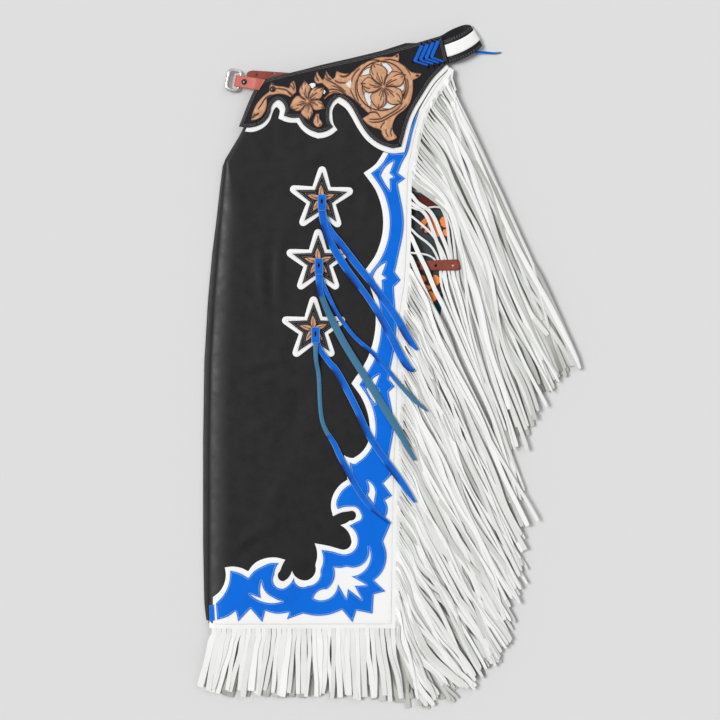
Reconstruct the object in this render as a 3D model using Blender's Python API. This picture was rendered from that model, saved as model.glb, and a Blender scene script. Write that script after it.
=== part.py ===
"""Leather rodeo chaps, folded in half at the centre back and lying flat on the floor.

The wearer's left leg is on top, its front fold at -X, its hem at -Y. Lengths in the tables are millimetres,
x to the wearer's back and y to the waist, and each level is a height above the layers underneath.
"""

import math
import random
from collections import namedtuple

import bmesh
import bpy
from mathutils import Vector
from mathutils.geometry import intersect_line_line, tessellate_polygon

MM = 0.001
GAP = 0.3  # between pieces that are sewn together
LEATHER = 2.2  # main leather
OVERLAY = 1.2  # cut-out overlays and underlays

# Heights of the folded stack under the near leg, at its front fold and at the yoke's back end.
FRONT_X, FRONT_HEIGHT = -300.0, 12.0
BACK_X, BACK_HEIGHT = 96.0, 8.0
FOLD_FLOOR = 5.6  # where the near leg's rolled edge ends
FOLD_STEPS = 6
ARC_STEP = 20.0  # degrees between an arc's points

Turn = namedtuple("Turn", "x y bow")  # bow: how far the line to the next turn bulges to its left
Row = namedtuple("Row", "y fold roll back far_out")
Level = namedtuple("Level", "low high")
Station = namedtuple("Station", "x y lift")
Lash = namedtuple("Lash", "root knee_x knee_y tip_x tip_y")

PANEL = Level(GAP, GAP + LEATHER)
UNDER = Level(PANEL.high + GAP, PANEL.high + GAP + OVERLAY)
OVER = Level(UNDER.high + GAP, UNDER.high + GAP + OVERLAY)
YOKE = Level(UNDER.high + GAP, UNDER.high + GAP + LEATHER)
TOOLED = Level(YOKE.high + GAP, YOKE.high + GAP + 1.6)
RAISED = Level(TOOLED.high + GAP, TOOLED.high + GAP + 1.4)
STAR_TOP = Level(OVER.high + GAP, OVER.high + GAP + OVERLAY)
KNOT_LEVEL = Level(10.9, 12.5)  # over both tails of a star's thong

# Rows across the leg from hem to yoke: front fold, width of its roll, back edge, reach of the far leg's fold.
LEG_ROWS = (
    Row(-430, -300, 36, 0, 3),
    Row(-400, -300, 36, 0, 7),
    Row(-300, -300, 36, 1, 9),
    Row(-128, -300, 36, 6, 9),
    Row(0, -298, 36, 10, 9),
    Row(103, -292, 34, 18, 9),
    Row(180, -286, 30, 24, 8),
    Row(235, -282, 26, 25, 5),
    Row(290, -278, 18, 26, 3),
    Row(330, -274, 8, 29, 2),
    Row(380, -244, 3.5, 39, 2),
    Row(410, -231, 3.5, 44, 2),
    Row(434, -221, 3.5, 54, 2),
    Row(452, -213, 3.5, 67, 2),
    Row(466, -201, 3.5, 68, 2),
    Row(478, -153, 3.5, 68, 14),
    Row(491, -96, 3.5, 68, 23),
    Row(505, -34, 3.5, 66, 23),
    Row(517, 15, 3.5, 66, 23),
    Row(528, 48, 3.5, 66, 23),
)

YOKE_EDGE = (
    Turn(-208, 466, 0),
    Turn(-224.5, 447, 0),
    Turn(-249, 388.5, -2.5),
    Turn(-218, 390, -4),
    Turn(-197, 413.5, 3.5),
    Turn(-185, 433, 3.5),
    Turn(-172.5, 416.5, 0),
    Turn(-175, 406.5, -2),
    Turn(-150, 403.5, -5),
    Turn(-119, 378.5, -2.5),
    Turn(-94, 388.5, 2.5),
    Turn(-100.5, 408.5, 5),
    Turn(-84, 438, 3.5),
    Turn(-58, 411.5, -1.5),
    Turn(-33, 372, -3),
    Turn(3.5, 353, 0),
    Turn(18, 355.5, 0),
    Turn(29.5, 397, 1.5),
    Turn(49.5, 436.5, 3.5),
    Turn(95.5, 494, 0),
    Turn(84, 538.5, 0),
    Turn(16.5, 519, 0),
    Turn(-66, 499, 0),
    Turn(-148.5, 481, 0),
)

# The white underlay shows below and behind the yoke, and its top edge is hidden under it.
YOKE_UNDERLAY_EDGE = (
    Turn(-239, 380.5, -2),
    Turn(-216, 383, -4.5),
    Turn(-194, 410, 1),
    Turn(-187.5, 421, 1.5),
    Turn(-181.5, 413.5, 0),
    Turn(-184, 402, -2.5),
    Turn(-153.5, 395, -4.5),
    Turn(-119, 369, -3.5),
    Turn(-86.5, 383.5, 2.5),
    Turn(-95, 406.5, 3.5),
    Turn(-86, 428, 2.5),
    Turn(-64.5, 406.5, -1.5),
    Turn(-39, 367, -3.5),
    Turn(1.5, 345, 0),
    Turn(24, 346.5, 0),
    Turn(35.5, 392.5, 1.5),
    Turn(54.5, 431.5, 3.5),
    Turn(98, 486, 0),
    Turn(91, 494, 0),
    Turn(60, 506, 0),
    Turn(-66, 488, 0),
    Turn(-145, 470, 0),
    Turn(-208, 450, 0),
)

# The border's white underlay: its flame edge from the yoke down the back and along the hem to the fold.
WHITE_FLAME = (
    Turn(-10.5, 347, 4),
    Turn(-43.5, 312.5, 32),
    Turn(-43, 149.5, 29),
    Turn(-63.5, -34.5, 7.5),
    Turn(-33, -111.5, 8),
    Turn(-60, -157.5, 1.5),
    Turn(-76, -152.5, 0),
    Turn(-70, -193, -4),
    Turn(-95.5, -223.5, -2.5),
    Turn(-94, -253.5, 2),
    Turn(-66, -245, 3),
    Turn(-56, -251, 3.5),
    Turn(-66, -260.5, 1),
    Turn(-81.5, -268, 4),
    Turn(-63.5, -294.5, 5),
    Turn(-79, -308.5, -1),
    Turn(-124, -298, 3.5),
    Turn(-123, -334, 6),
    Turn(-137, -359, 5.5),
    Turn(-161.5, -343, 2.5),
    Turn(-175, -360.5, 6.5),
    Turn(-181.5, -344, 0.5),
    Turn(-172.5, -325, -5),
    Turn(-218, -327.5, -1.5),
    Turn(-233.5, -344, -4),
    Turn(-272, -337.5, 9),
    Turn(-292, -387, 0),
)

# The blue overlay: its inner edge follows the white one, its outer edge has the spikes.
BLUE_FLAME = (
    Turn(-2.5, 345.2, 3.5),
    Turn(-31.5, 312, 33),
    Turn(-35.5, 144.5, 28),
    Turn(-50.5, -36.5, 7.5),
    Turn(-24, -113, 8),
    Turn(-56, -166.5, 1.5),
    Turn(-67, -164, 0),
    Turn(-61, -199, -4),
    Turn(-86.5, -223.5, -2.5),
    Turn(-86, -241.5, 1.5),
    Turn(-64.5, -237.5, 4),
    Turn(-48.5, -248.5, 4),
    Turn(-53.5, -261.5, 0),
    Turn(-67.5, -269, 4),
    Turn(-53.5, -294.5, 7.5),
    Turn(-78.5, -316, -1),
    Turn(-113, -308.5, 3.5),
    Turn(-114.5, -342.5, 7.5),
    Turn(-135.5, -368, 7.5),
    Turn(-159, -355, 2.5),
    Turn(-175, -372, 9),
    Turn(-191.5, -350.5, 1.5),
    Turn(-184, -330, -2.5),
    Turn(-212, -336.5, -2.5),
    Turn(-233.5, -355, -2),
    Turn(-263, -342.5, 7),
    Turn(-287, -397, 0),
)
BLUE_SPIKES = (
    Turn(48, 415, -1),
    Turn(29, 347, -1),
    Turn(13, 312.5, 0),
    Turn(25, 303.5, 0),
    Turn(12.5, 294.5, 10.5),
    Turn(11.5, 166, 0),
    Turn(7.5, 149.5, 0),
    Turn(17.5, 136, 0),
    Turn(6, 124.5, 8),
    Turn(-2.5, -27, 0),
    Turn(7.5, -39.5, 0),
    Turn(-2.5, -48.5, 8),
    Turn(-1.5, -159, 0),
    Turn(2.5, -185, 0),
    Turn(-11.5, -199, 0),
    Turn(3.5, -219.5, 0),
    Turn(-9, -227, 5),
    Turn(-9, -256.5, 0),
    Turn(1.5, -264, 0),
    Turn(-11.5, -294.5, 0),
    Turn(-6.5, -311, 7.5),
    Turn(-26.5, -359, 0),
    Turn(-7.5, -377, 0),
    Turn(-27, -382, 0),
    Turn(-29, -414, 0),
    Turn(-55.5, -408.5, 0),
    Turn(-62, -428, 0),
    Turn(-79, -407.5, 6.5),
    Turn(-143.5, -413.5, 0),
    Turn(-170, -423, 0),
    Turn(-166, -411.5, 3.5),
    Turn(-206, -409, 0),
    Turn(-210.5, -427.5, 0),
    Turn(-230, -405, 0),
    Turn(-250, -426.5, 0),
    Turn(-254, -409, 2.5),
    Turn(-285, -424, 0),
)

# Windows cut through the blue overlay.
ARROW_WINDOW = (
    Turn(6.5, 332.5, -3.5),
    Turn(-15.5, 308.5, -1),
    Turn(0, 283, 0),
    Turn(-1, 303, 0),
    Turn(6, 306, 0),
    Turn(-1, 312, 0),
)
ARROW_DROPS = ((0, 0), (-13, -167), (-24, -352))  # the arrow again further down, as (x, y) shifts
BURST_WINDOW = (
    Turn(-35.5, -303, 15),
    Turn(-71, -336.5, 1.5),
    Turn(-92.5, -337.5, 6),
    Turn(-104, -373.5, -5),
    Turn(-127, -388.5, -13),
    Turn(-86, -365.5, 0),
    Turn(-72, -389.5, 0),
    Turn(-69.5, -373, 0),
    Turn(-46, -391, 0),
    Turn(-58.5, -368, 0),
    Turn(-38, -367, 0),
    Turn(-63.5, -352.5, -15),
)
CRESCENT_WINDOW = (
    Turn(-212, -359, -5),
    Turn(-193, -387, -1),
    Turn(-176.5, -393.5, 8),
    Turn(-232, -381, 0),
    Turn(-213, -388, 2),
)
HOOK_WINDOW = (
    Turn(-38, -194.5, 6),
    Turn(-25.5, -222, 0),
    Turn(-27, -232, 0),
    Turn(-37, -218.5, 0),
    Turn(-34.5, -212, -1.5),
)

# Back edge of the near leg's border, from the yoke's back end to the hem, where the side fringe is sewn on.
SIDE_SEAM = (
    Turn(99.5, 486, 0),
    Turn(59, 428, 0),
    Turn(45.5, 393.5, 0),
    Turn(35, 347.5, 0),
    Turn(29, 304.5, 0),
    Turn(27, 202, 0),
    Turn(23, 128, 0),
    Turn(16.5, 86.5, 0),
    Turn(12.5, 20.5, 0),
    Turn(10, -95, 0),
    Turn(6, -177.5, 0),
    Turn(3.5, -293, 0),
    Turn(2.5, -392, 0),
    Turn(2, -424, 0),
)
STRIP_GAP = 0.9
STRIP_WIDTH = 6.5
SIDE_PARTING = {"y": 304.5, "gap": 1.0}  # the side fringe is sewn on in two lengths that meet here
HEM_Y = -431.0

# Guides that steer the fringe: where a root sits along the seam, then that lash's knee and tip.
SIDE_GUIDES = (
    Lash(486, 136, 412, 313, -9),
    Lash(452, 124, 365, 292, -14),
    Lash(420, 115, 322, 272, -30),
    Lash(390, 111, 285, 256, -58),
    Lash(362, 111, 250, 240, -86),
    Lash(340, 112, 218, 226, -112),
    Lash(322, 114, 186, 213, -138),
    Lash(290, 70, 205, 230, -204),
    Lash(240, 72, 150, 227, -220),
    Lash(190, 74, 105, 222, -238),
    Lash(165, 82, 66, 220, -250),
    Lash(145, 75, 52, 217, -266),
    Lash(120, 64, 42, 215, -292),
    Lash(54, 58, -21, 212, -348),
    Lash(-29, 56, -111, 204, -398),
    Lash(-111, 58, -194, 193, -442),
    Lash(-194, 56, -276, 182, -480),
    Lash(-276, 50, -351, 155, -511),
    Lash(-350, 40, -425, 119, -540),
    Lash(-400, 26, -460, 78, -556),
    Lash(-424, 15, -470, 45, -557),
)
HEM_GUIDES = (
    Lash(3, 8, -480, 24, -556),
    Lash(-60, -60, -480, -50, -552),
    Lash(-150, -150, -480, -142, -546),
    Lash(-240, -243, -480, -246, -548),
    Lash(-298, -304, -480, -313, -532),
)

# The under layer hangs a little steeper and is a little shorter.
UNDER_GUIDES = tuple(
    guide._replace(
        knee_x=guide.knee_x - 6,
        knee_y=guide.knee_y - 4,
        tip_x=guide.tip_x - 22,
        tip_y=guide.tip_y + 4,
    )
    for guide in SIDE_GUIDES
)
SIDE_PLAN = {
    "seed": 5,
    "by_height": True,  # the guides are read by y, or else by x
    "first": 7.0,
    "last": 5.0,
    "pitch": 12.6,
    "thin": (165, 318),  # between these heights the lashes stand further apart
    "thin_pitch": 38.0,
    "root": 8.6,
    "longest": 16.0,
    "low": UNDER.low,
    "high": UNDER.high,
    "width": 9.0,
    "thickness": 1.2,
    "tilt": math.radians(20),
    "first_step": 12.0,
    "sections": 4,
    "knee_z": 12.9,
    "tip_z": 8.2,
    "ragged": 14.0,
    "bend": 0.8,
}
LOWER_STRIP = {"low": UNDER.low - 1.8, "high": UNDER.high - 1.8, "width": 10.0}
SIDE_UNDER_PLAN = SIDE_PLAN | LOWER_STRIP | {
    "seed": 11,
    "first": 14.0,
    "pitch": 17.0,
    "thin_pitch": 50.0,
    "root": 9.5,
    "knee_z": 8.0,
    "tip_z": 3.2,
}
HEM_PLAN = SIDE_PLAN | {
    "seed": 23,
    "by_height": False,
    "first": 6.0,
    "last": 5.5,
    "pitch": 10.6,
    "thin": None,
    "root": 8.4,
    "width": 9.2,
    "tilt": math.radians(12),
    "first_step": 9.0,
    "sections": 3,
    "knee_z": 11.6,
    "tip_z": 6.6,
    "ragged": 5.0,
}
HEM_UNDER_PLAN = HEM_PLAN | LOWER_STRIP | {
    "seed": 31,
    "first": 11.0,
    "pitch": 13.4,
    "knee_z": 7.4,
    "tip_z": 2.4,
}

# The narrow way round the underlay's back corner, which both border layers keep clear of, from top to bottom.
BEHIND_YOKE = ((94, 480), (74.8, 460.2), (56, 430.4), (36.8, 391.6), (25.3, 345.6), (1.5, 344.3))
BLUE_BEHIND_YOKE = BEHIND_YOKE[3:]

# Short end of the border, turned over the front fold.
BORDER_END = ((-297.5, -427), (-289, -425), (-290.5, -399), (-298.5, -401))

# Tooled pieces on the yoke, each from its lower left round by its upper side.
STEM_LEAF = (
    Turn(-229.5, 397, 1.5),
    Turn(-220.5, 425, 1.5),
    Turn(-199.5, 446.5, 0),
    Turn(-199, 453, 0),
    Turn(-195.5, 462.5, -1),
    Turn(-185, 456, 0.6),
    Turn(-166.5, 452.5, 0),
    Turn(-164.5, 459.5, 0.8),
    Turn(-157.5, 464.5, 0.6),
    Turn(-154, 452, 0),
    Turn(-153.5, 444.5, 0),
    Turn(-157.5, 441, 0),
    Turn(-163.5, 435.5, -6),
    Turn(-202, 434.5, 3.5),
    Turn(-211, 403.5, 1.5),
)
VINE = (
    Turn(-121.5, 458, 0.8),
    Turn(-125.5, 467, 1),
    Turn(-119.5, 481, -1.2),
    Turn(-110.5, 466, 0),
    Turn(-108.5, 471, 0.6),
    Turn(-104.5, 481.5, -1),
    Turn(-94, 467.5, 0),
    Turn(-91, 471, 0.5),
    Turn(-88, 481, -2.4),
    Turn(-64.5, 477.5, -0.5),
    Turn(-56, 484.5, 3.5),
    Turn(-16.5, 503.5, 0),
    Turn(1.5, 504, -1),
    Turn(14.5, 511, 1),
    Turn(15, 495, 1),
    Turn(34.5, 479.5, -0.8),
    Turn(53.5, 476.5, 2),
    Turn(38.5, 464.5, 2.5),
    Turn(33, 426.5, 1.5),
    Turn(12.5, 406, -1.5),
    Turn(4, 386, -1),
    Turn(13, 370.5, 2),
    Turn(-3.5, 364, 2.5),
    Turn(-15, 381, 0),
    Turn(-18, 383, 3.5),
    Turn(-47, 402, 0),
    Turn(-35.5, 409, -0.5),
    Turn(-66, 436.5, -2),
    Turn(-92.5, 442.5, -1.5),
    Turn(-107.5, 431.5, 0),
    Turn(-109.5, 435, 0),
    Turn(-100.5, 444, 0),
    Turn(-102.5, 450, 0),
    Turn(-112, 458.5, 0),
)
BUD = (
    Turn(-122, 410, -0.5),
    Turn(-127, 397, -2),
    Turn(-120, 386.5, -2),
    Turn(-110.5, 392.5, -1),
    Turn(-115.5, 401, 0.5),
    Turn(-115.5, 410, 0),
)
VINE_HOLE = {"x": -14.0, "y": 455.4, "radius": 40.0}
INLAY_RADIUS = 39.5

# Flowers: each petal's direction in degrees and its reach, then the notch that follows it.
Petal = namedtuple("Petal", "angle reach notch_angle notch_reach")
SMALL_FLOWER = (
    Petal(-22, 31.0, 7, 20.8),
    Petal(40, 35.0, 72, 21.6),
    Petal(98, 34.5, 141, 17.5),
    Petal(202, 31.0, 234, 21.0),
    Petal(274, 31.5, 304, 17.5),
)
LARGE_FLOWER = (
    Petal(29, 40.5, 71, 20.5),
    Petal(115, 42.5, 142, 26.0),
    Petal(172, 37.5, 208, 22.5),
    Petal(257, 37.5, 282, 23.5),
    Petal(317, 40.5, 358, 22.5),
)
SMALL_FLOWER_AT = (-136.0, 430.0)
LARGE_FLOWER_AT = (-10.7, 453.8)
PETAL_STEPS = (0.2, 0.5, 0.8)  # from a petal's tip to its notch
PETAL_ROUNDING = 0.7

# Thong lacing: one row for each chevron, its point and the ends of its two arms.
Chevron = namedtuple("Chevron", "tip_x tip_y up_x up_y down_x down_y")
CHEVRONS = (
    Chevron(37, 495.5, 50, 524, 62, 487.5),
    Chevron(46, 497.5, 59, 526.5, 71, 489.5),
    Chevron(55, 499.5, 68, 529, 80, 491.5),
    Chevron(64, 501.5, 76.5, 531.5, 88, 493.5),
)
THONG = {"up": 6.6, "down": 4.1}

# Back belt: stations along it from under the yoke round the fold at the centre back to the far side.
Band = namedtuple("Band", "top_x top_y low_x low_y z")
BELT = (
    Band(66.8, 528.9, 69.4, 489.0, 9.1),
    Band(88.3, 532.1, 97.4, 493.7, 9.0),
    Band(99.0, 535.4, 110.6, 497.1, 11.5),
    Band(112.2, 540.4, 124.6, 502.8, 13.0),
    Band(123.8, 547.0, 137.8, 510.2, 12.6),
    Band(130.8, 552.8, 147.3, 517.6, 10.6),
    Band(132.5, 555.6, 151.5, 523.0, 7.6),
    Band(128.7, 558.2, 147.7, 525.5, 4.6),
    Band(120.5, 557.5, 135.3, 520.6, 2.8),
    Band(107.3, 552.8, 120.5, 515.6, 2.3),
    Band(97.4, 548.1, 107.3, 509.9, 2.3),
    Band(85.8, 541.2, 94.9, 502.4, 2.3),
    Band(67.0, 533.0, 69.4, 494.0, 2.3),
)
BELT_THICKNESS = 3.0
BELT_OVERLAY = {"first": 1, "last": 7, "low": 0.27, "high": 0.78}
THONG_END = (
    Station(139, 512.5, 6.2),
    Station(150, 512.8, 5.0),
    Station(163, 512.0, 2.6),
    Station(174, 511.5, 1.8),
    Station(184, 512.8, 1.6),
)

# Front strap, in its own frame: x from the ring's bar to the yoke, z up from the floor, then y across it.
BAR_X, BAR_Y, BAR_Z = -248.3, 464.0, 7.0
STRAP_TURN = -11.3  # degrees
BAR_RADIUS = 2.2
STRAP_WIDTH = 19.0
STRAP_THICKNESS = 2.2
STRAP_PATH = (
    (38.0, 19.1),
    (27.0, 19.1),
    (2.0, 10.9),
    (-4.2, 10.7),
    (-6.8, 9.6),
    (-7.9, 7.0),
    (-6.8, 4.4),
    (-4.2, 3.3),
    (1.8, 3.3),
    (4.0, 5.4),
    (5.5, 9.3),
    (13.5, 11.9),
)
STRAP_SLANT = 3.5  # how much longer the strap's end is at its upper side
STRAP_SLOPE = 18.2  # degrees, where the rivet sits
RIVET_X = 8.5
RIVET_RADIUS = 5.0
RING = {"bar_to_left": 19.9, "half_height": 16.4, "corner": 6.4, "left_half": 3.2, "depth": 2.0}
YOKE_RIVET = {"x": -193.0, "y": 449.5, "radius": 3.6}

FAR_STRAP = (
    Turn(-237.5, 475, 1.5),
    Turn(-231, 481.5, 0.4),
    Turn(-221, 482.5, 0),
    Turn(-153, 484.5, 0),
    Turn(-152.5, 483, 0),
    Turn(-169.5, 478.5, 0),
    Turn(-205, 467, 0),
    Turn(-223, 468.5, 0),
    Turn(-232.5, 470, 0.8),
)
FAR_STRAP_HOLES = ((-219.5, 474.8), (-191.5, 477.5))
HOLE_RADIUS = 2.1

# What shows behind the side fringe: the far leg's turned-in flap with its straps and keepers.
FLAP = (
    Turn(28.6, 283, 0),
    Turn(66, 278, 0),
    Turn(89, 263, 0),
    Turn(102.5, 240, 0),
    Turn(107, 202, 0),
    Turn(102.5, 166, 0),
    Turn(89, 116.5, 0),
    Turn(82.5, 70, 0),
    Turn(20, 90, 0),
    Turn(25, 140, 0),
    Turn(28.5, 220, 0),
)
THIGH_STRAP = (
    Turn(32, 277, 0),
    Turn(68, 274.5, 2),
    Turn(97, 257, 0),
    Turn(96, 248, -1.5),
    Turn(62, 256, 0),
    Turn(32, 262, 0),
)
LEG_STRAP = (
    Turn(33, 167.5, 0),
    Turn(110, 170.5, 1),
    Turn(119, 160, 1),
    Turn(110, 152, 0),
    Turn(33, 152, 0),
)
LEG_STRAP_HOLES = ((103.5, 160.5), (76, 160), (48, 160))
UPPER_KEEPER = (
    Turn(44, 250, 0),
    Turn(92, 240, 2),
    Turn(100, 222, 0),
    Turn(101, 203, 0),
    Turn(52, 214, 0),
)
LOWER_KEEPER = (
    Turn(46, 147, 0),
    Turn(84, 147, 0),
    Turn(84, 122, 0),
    Turn(74, 84, 0),
    Turn(46, 112, 0),
)
FLAP_Z = (0.0, 1.6)
STRAPS_Z = (1.9, 3.7)
KEEPERS_Z = (1.9, 3.1)

Star = namedtuple("Star", "x y turned knot_x knot_y")
STARS = (
    Star(-113.5, 269.0, -2.0, -112.0, 263.0),
    Star(-118.5, 165.5, 0.0, -117.0, 158.0),
    Star(-126.0, 54.5, 0.0, -122.5, 45.0),
)
StarSize = namedtuple("StarSize", "outer inner tip_radius")
STAR_SIZES = {
    "white": StarSize(54.5, 25.5, 6.6),
    "black": StarSize(45.0, 18.5, 0.0),
    "flower": StarSize(24.0, 8.5, 0.0),
}
KNOT = {"half_width": 7.0, "half_length": 13.5, "corner": 2.0, "hole_x": 1.5, "hole_y": 3.6, "hole_up": 2.0}

# The two tails of each star's thong, from under its knot. They cross each other near the knot only.
Tie = namedtuple("Tie", "name width stations")
TIES = (
    Tie(
        "tie_1_a",
        12,
        (
            Station(-111.5, 263, 7.4),
            Station(-109.5, 240, 7.4),
            Station(-97.5, 217, 6.4),
            Station(-78.5, 192, 5.9),
            Station(-58, 165, 5.9),
            Station(-29.5, 129.5, 5.9),
            Station(8, 78, 5.9),
            Station(30, 40, 7),
            Station(44.5, 21, 7),
        ),
    ),
    Tie(
        "tie_1_b",
        12,
        (
            Station(-112.5, 260, 9.1),
            Station(-110.5, 237, 9.1),
            Station(-104, 212, 8.4),
            Station(-91.5, 185.5, 7.6),
            Station(-72, 154.5, 5.9),
            Station(-53, 129.5, 5.9),
            Station(-33, 102, 5.9),
            Station(-8, 62, 5.9),
            Station(24, 0, 7),
            Station(39.5, -14, 7),
        ),
    ),
    Tie(
        "tie_2_a",
        7,
        (
            Station(-117, 157.5, 7.4),
            Station(-113, 136, 7.4),
            Station(-107, 121.5, 7),
            Station(-97.5, 101.5, 5.9),
            Station(-85, 77.5, 5.9),
            Station(-59.5, 43.5, 5.9),
            Station(-25, 12, 5.9),
            Station(16.5, -37, 7),
            Station(40, -62, 7),
            Station(61, -80, 7),
        ),
    ),
    Tie(
        "tie_2_b",
        12,
        (
            Station(-118, 154.5, 9.1),
            Station(-116.5, 133, 9.1),
            Station(-114.5, 116.5, 8.9),
            Station(-105, 90, 7.7),
            Station(-93, 65, 6.2),
            Station(-74, 29, 5.9),
            Station(-33, -37, 5.9),
            Station(8, -103, 6.2),
            Station(41, -161, 7),
        ),
    ),
    Tie(
        "tie_3_a",
        11,
        (
            Station(-120.5, 37, 7.4),
            Station(-118, 25.5, 7.4),
            Station(-110.5, 14, 6.4),
            Station(-100.5, 1, 5.9),
            Station(-85, -19, 4.6),
            Station(-58, -70, 5.9),
            Station(-30, -128, 5.9),
            Station(16.5, -194, 7),
            Station(41, -230, 7),
        ),
    ),
    Tie(
        "tie_3_b",
        9,
        (
            Station(-122, 34, 9.1),
            Station(-122.5, 20.5, 9.1),
            Station(-121.5, 1, 7.4),
            Station(-117.5, -22.5, 3.4),
            Station(-112, -95, 2.9),
            Station(-91, -136, 4.5),
            Station(-77.5, -164, 5.9),
            Station(-41, -227, 5.9),
            Station(0, -265, 6.9),
        ),
    ),
)
TIE_THICKNESS = 1.4

COLOURS = {
    "black_leather": ((0.024, 0.024, 0.026), 0.42, 0.0),
    "white_leather": ((0.84, 0.84, 0.82), 0.5, 0.0),
    "blue_leather": ((0.003, 0.135, 0.66), 0.42, 0.0),
    "tooled_leather": ((0.62, 0.33, 0.15), 0.45, 0.0),
    "strap_leather": ((0.5, 0.12, 0.075), 0.5, 0.0),
    "suede": ((0.05, 0.068, 0.062), 0.9, 0.0),
    "chrome": ((0.8, 0.8, 0.8), 0.15, 1.0),
    "rivet_metal": ((0.02, 0.02, 0.02), 0.3, 1.0),
}


def clear_scene():
    for item in list(bpy.data.objects):
        bpy.data.objects.remove(item, do_unlink=True)


def material(slot):
    found = bpy.data.materials.get(slot)
    if found:
        return found
    colour, roughness, metallic = COLOURS[slot]
    made = bpy.data.materials.new(slot)
    made.use_nodes = True
    shader = made.node_tree.nodes["Principled BSDF"]
    shader.inputs["Base Color"].default_value = (*colour, 1.0)
    shader.inputs["Roughness"].default_value = roughness
    shader.inputs["Metallic"].default_value = metallic
    return made


def add_object(name, mesh, slot, smooth=False):
    """One closed piece from a bmesh in millimetres."""
    bmesh.ops.recalc_face_normals(mesh, faces=mesh.faces)
    bmesh.ops.scale(mesh, vec=(MM, MM, MM), verts=mesh.verts)
    data = bpy.data.meshes.new(name)
    mesh.to_mesh(data)
    mesh.free()
    data.materials.append(material(slot))
    if smooth:
        data.shade_smooth()
        data.set_sharp_from_angle(angle=math.radians(35))
    piece = bpy.data.objects.new(name, data)
    bpy.context.scene.collection.objects.link(piece)
    return piece


def layers_top(x):
    """Top of the layers under the near leg, behind its front fold."""
    share = (x - FRONT_X) / (BACK_X - FRONT_X)
    return FRONT_HEIGHT + share * (BACK_HEIGHT - FRONT_HEIGHT)


def fold_profile(row, inset):
    """(x, z) down the near leg's front fold, from the flat panel to the lip, inset from its outer face."""
    flat_x = row.fold + row.roll
    height = layers_top(flat_x) + PANEL.high - FOLD_FLOOR
    profile = []
    for step in range(FOLD_STEPS + 1):
        angle = math.radians(90 * step / FOLD_STEPS)
        x = flat_x - (row.roll - inset) * math.sin(angle)
        z = FOLD_FLOOR + (height - inset) * math.cos(angle)
        profile.append((x, z))
    return profile


HEM_FOLD = fold_profile(LEG_ROWS[0], 0.0)


def leg_top(x):
    """Outer face of the near leg, with the fold's facets as they are along the hem."""
    for (right_x, right_z), (left_x, left_z) in zip(HEM_FOLD, HEM_FOLD[1:]):
        if left_x <= x < right_x:
            return left_z + (right_z - left_z) * (x - left_x) / (right_x - left_x)
    return layers_top(x) + PANEL.high


def arc_points(start, end, bow):
    """The start and the points before the end of an arc that bulges by bow to its left."""
    dx = end[0] - start[0]
    dy = end[1] - start[1]
    chord = math.hypot(dx, dy)
    if abs(bow) < 0.05:
        return [tuple(start)]
    side = math.copysign(1.0, bow)
    radius = (chord * chord / 4 + bow * bow) / (2 * abs(bow))
    turn = 4 * math.atan(2 * abs(bow) / chord)
    steps = max(2, math.ceil(turn / math.radians(ARC_STEP)))
    along = Vector((dx, dy)) / chord
    left = Vector((-along.y, along.x))
    centre = Vector(((start[0] + end[0]) / 2, (start[1] + end[1]) / 2)) + left * (bow - side * radius)
    points = []
    for step in range(steps):
        angle = turn * (step / steps - 0.5)
        point = centre + left * (side * radius * math.cos(angle)) + along * (radius * math.sin(angle))
        points.append((point.x, point.y))
    return points


def outline(turns, closed=True):
    """Points along a table of turns."""
    points = []
    for here, after in zip(turns, turns[1:]):
        points.extend(arc_points(here[:2], after[:2], here.bow))
    if closed:
        points.extend(arc_points(turns[-1][:2], turns[0][:2], turns[-1].bow))
    else:
        points.append((turns[-1].x, turns[-1].y))
    return points


def circle(x, y, radius, count):
    angles = (2 * math.pi * i / count for i in range(count))
    return [(x + radius * math.cos(angle), y + radius * math.sin(angle)) for angle in angles]


def slab(name, loops, low, high, slot):
    """A closed sheet over an outline and its holes; low and high give its faces' heights at any x."""
    mesh = bmesh.new()
    rings = [[Vector((x, y, 0.0)) for x, y in loop] for loop in loops]
    verts = [mesh.verts.new(point) for ring in rings for point in ring]
    for corners in tessellate_polygon(rings):
        face = mesh.faces.new([verts[i] for i in corners])
        face.normal_update()
        if face.normal.z < 0:
            face.normal_flip()
    for x, _ in HEM_FOLD[:-1]:
        if min(point.x for point in rings[0]) < x:
            everything = list(mesh.verts) + list(mesh.edges) + list(mesh.faces)
            bmesh.ops.bisect_plane(mesh, geom=everything, plane_co=(x, 0, 0), plane_no=(1, 0, 0))
    rims = []
    for edge in mesh.edges:
        if edge.is_boundary:
            loop = edge.link_loops[0]
            rims.append((loop.vert, loop.link_loop_next.vert))
    upper_faces = list(mesh.faces)
    lower = {}
    for vert in list(mesh.verts):
        lower[vert] = mesh.verts.new((vert.co.x, vert.co.y, low(vert.co.x)))
        vert.co.z = high(vert.co.x)
    for face in upper_faces:
        mesh.faces.new([lower[vert] for vert in reversed(face.verts)])
    for first, second in rims:
        mesh.faces.new((second, first, lower[first], lower[second]))
    loose = [vert for vert in mesh.verts if not vert.link_faces]
    bmesh.ops.delete(mesh, geom=loose, context="VERTS")
    return add_object(name, mesh, slot)


def laid(name, loops, level, slot):
    """A sheet laid on the near leg at one of its levels."""
    return slab(
        name,
        loops,
        lambda x: leg_top(x) + level.low - PANEL.high,
        lambda x: leg_top(x) + level.high - PANEL.high,
        slot,
    )


def flat(name, loops, heights, slot):
    """A sheet between two heights above the floor."""
    return slab(name, loops, lambda x: heights[0], lambda x: heights[1], slot)


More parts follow.
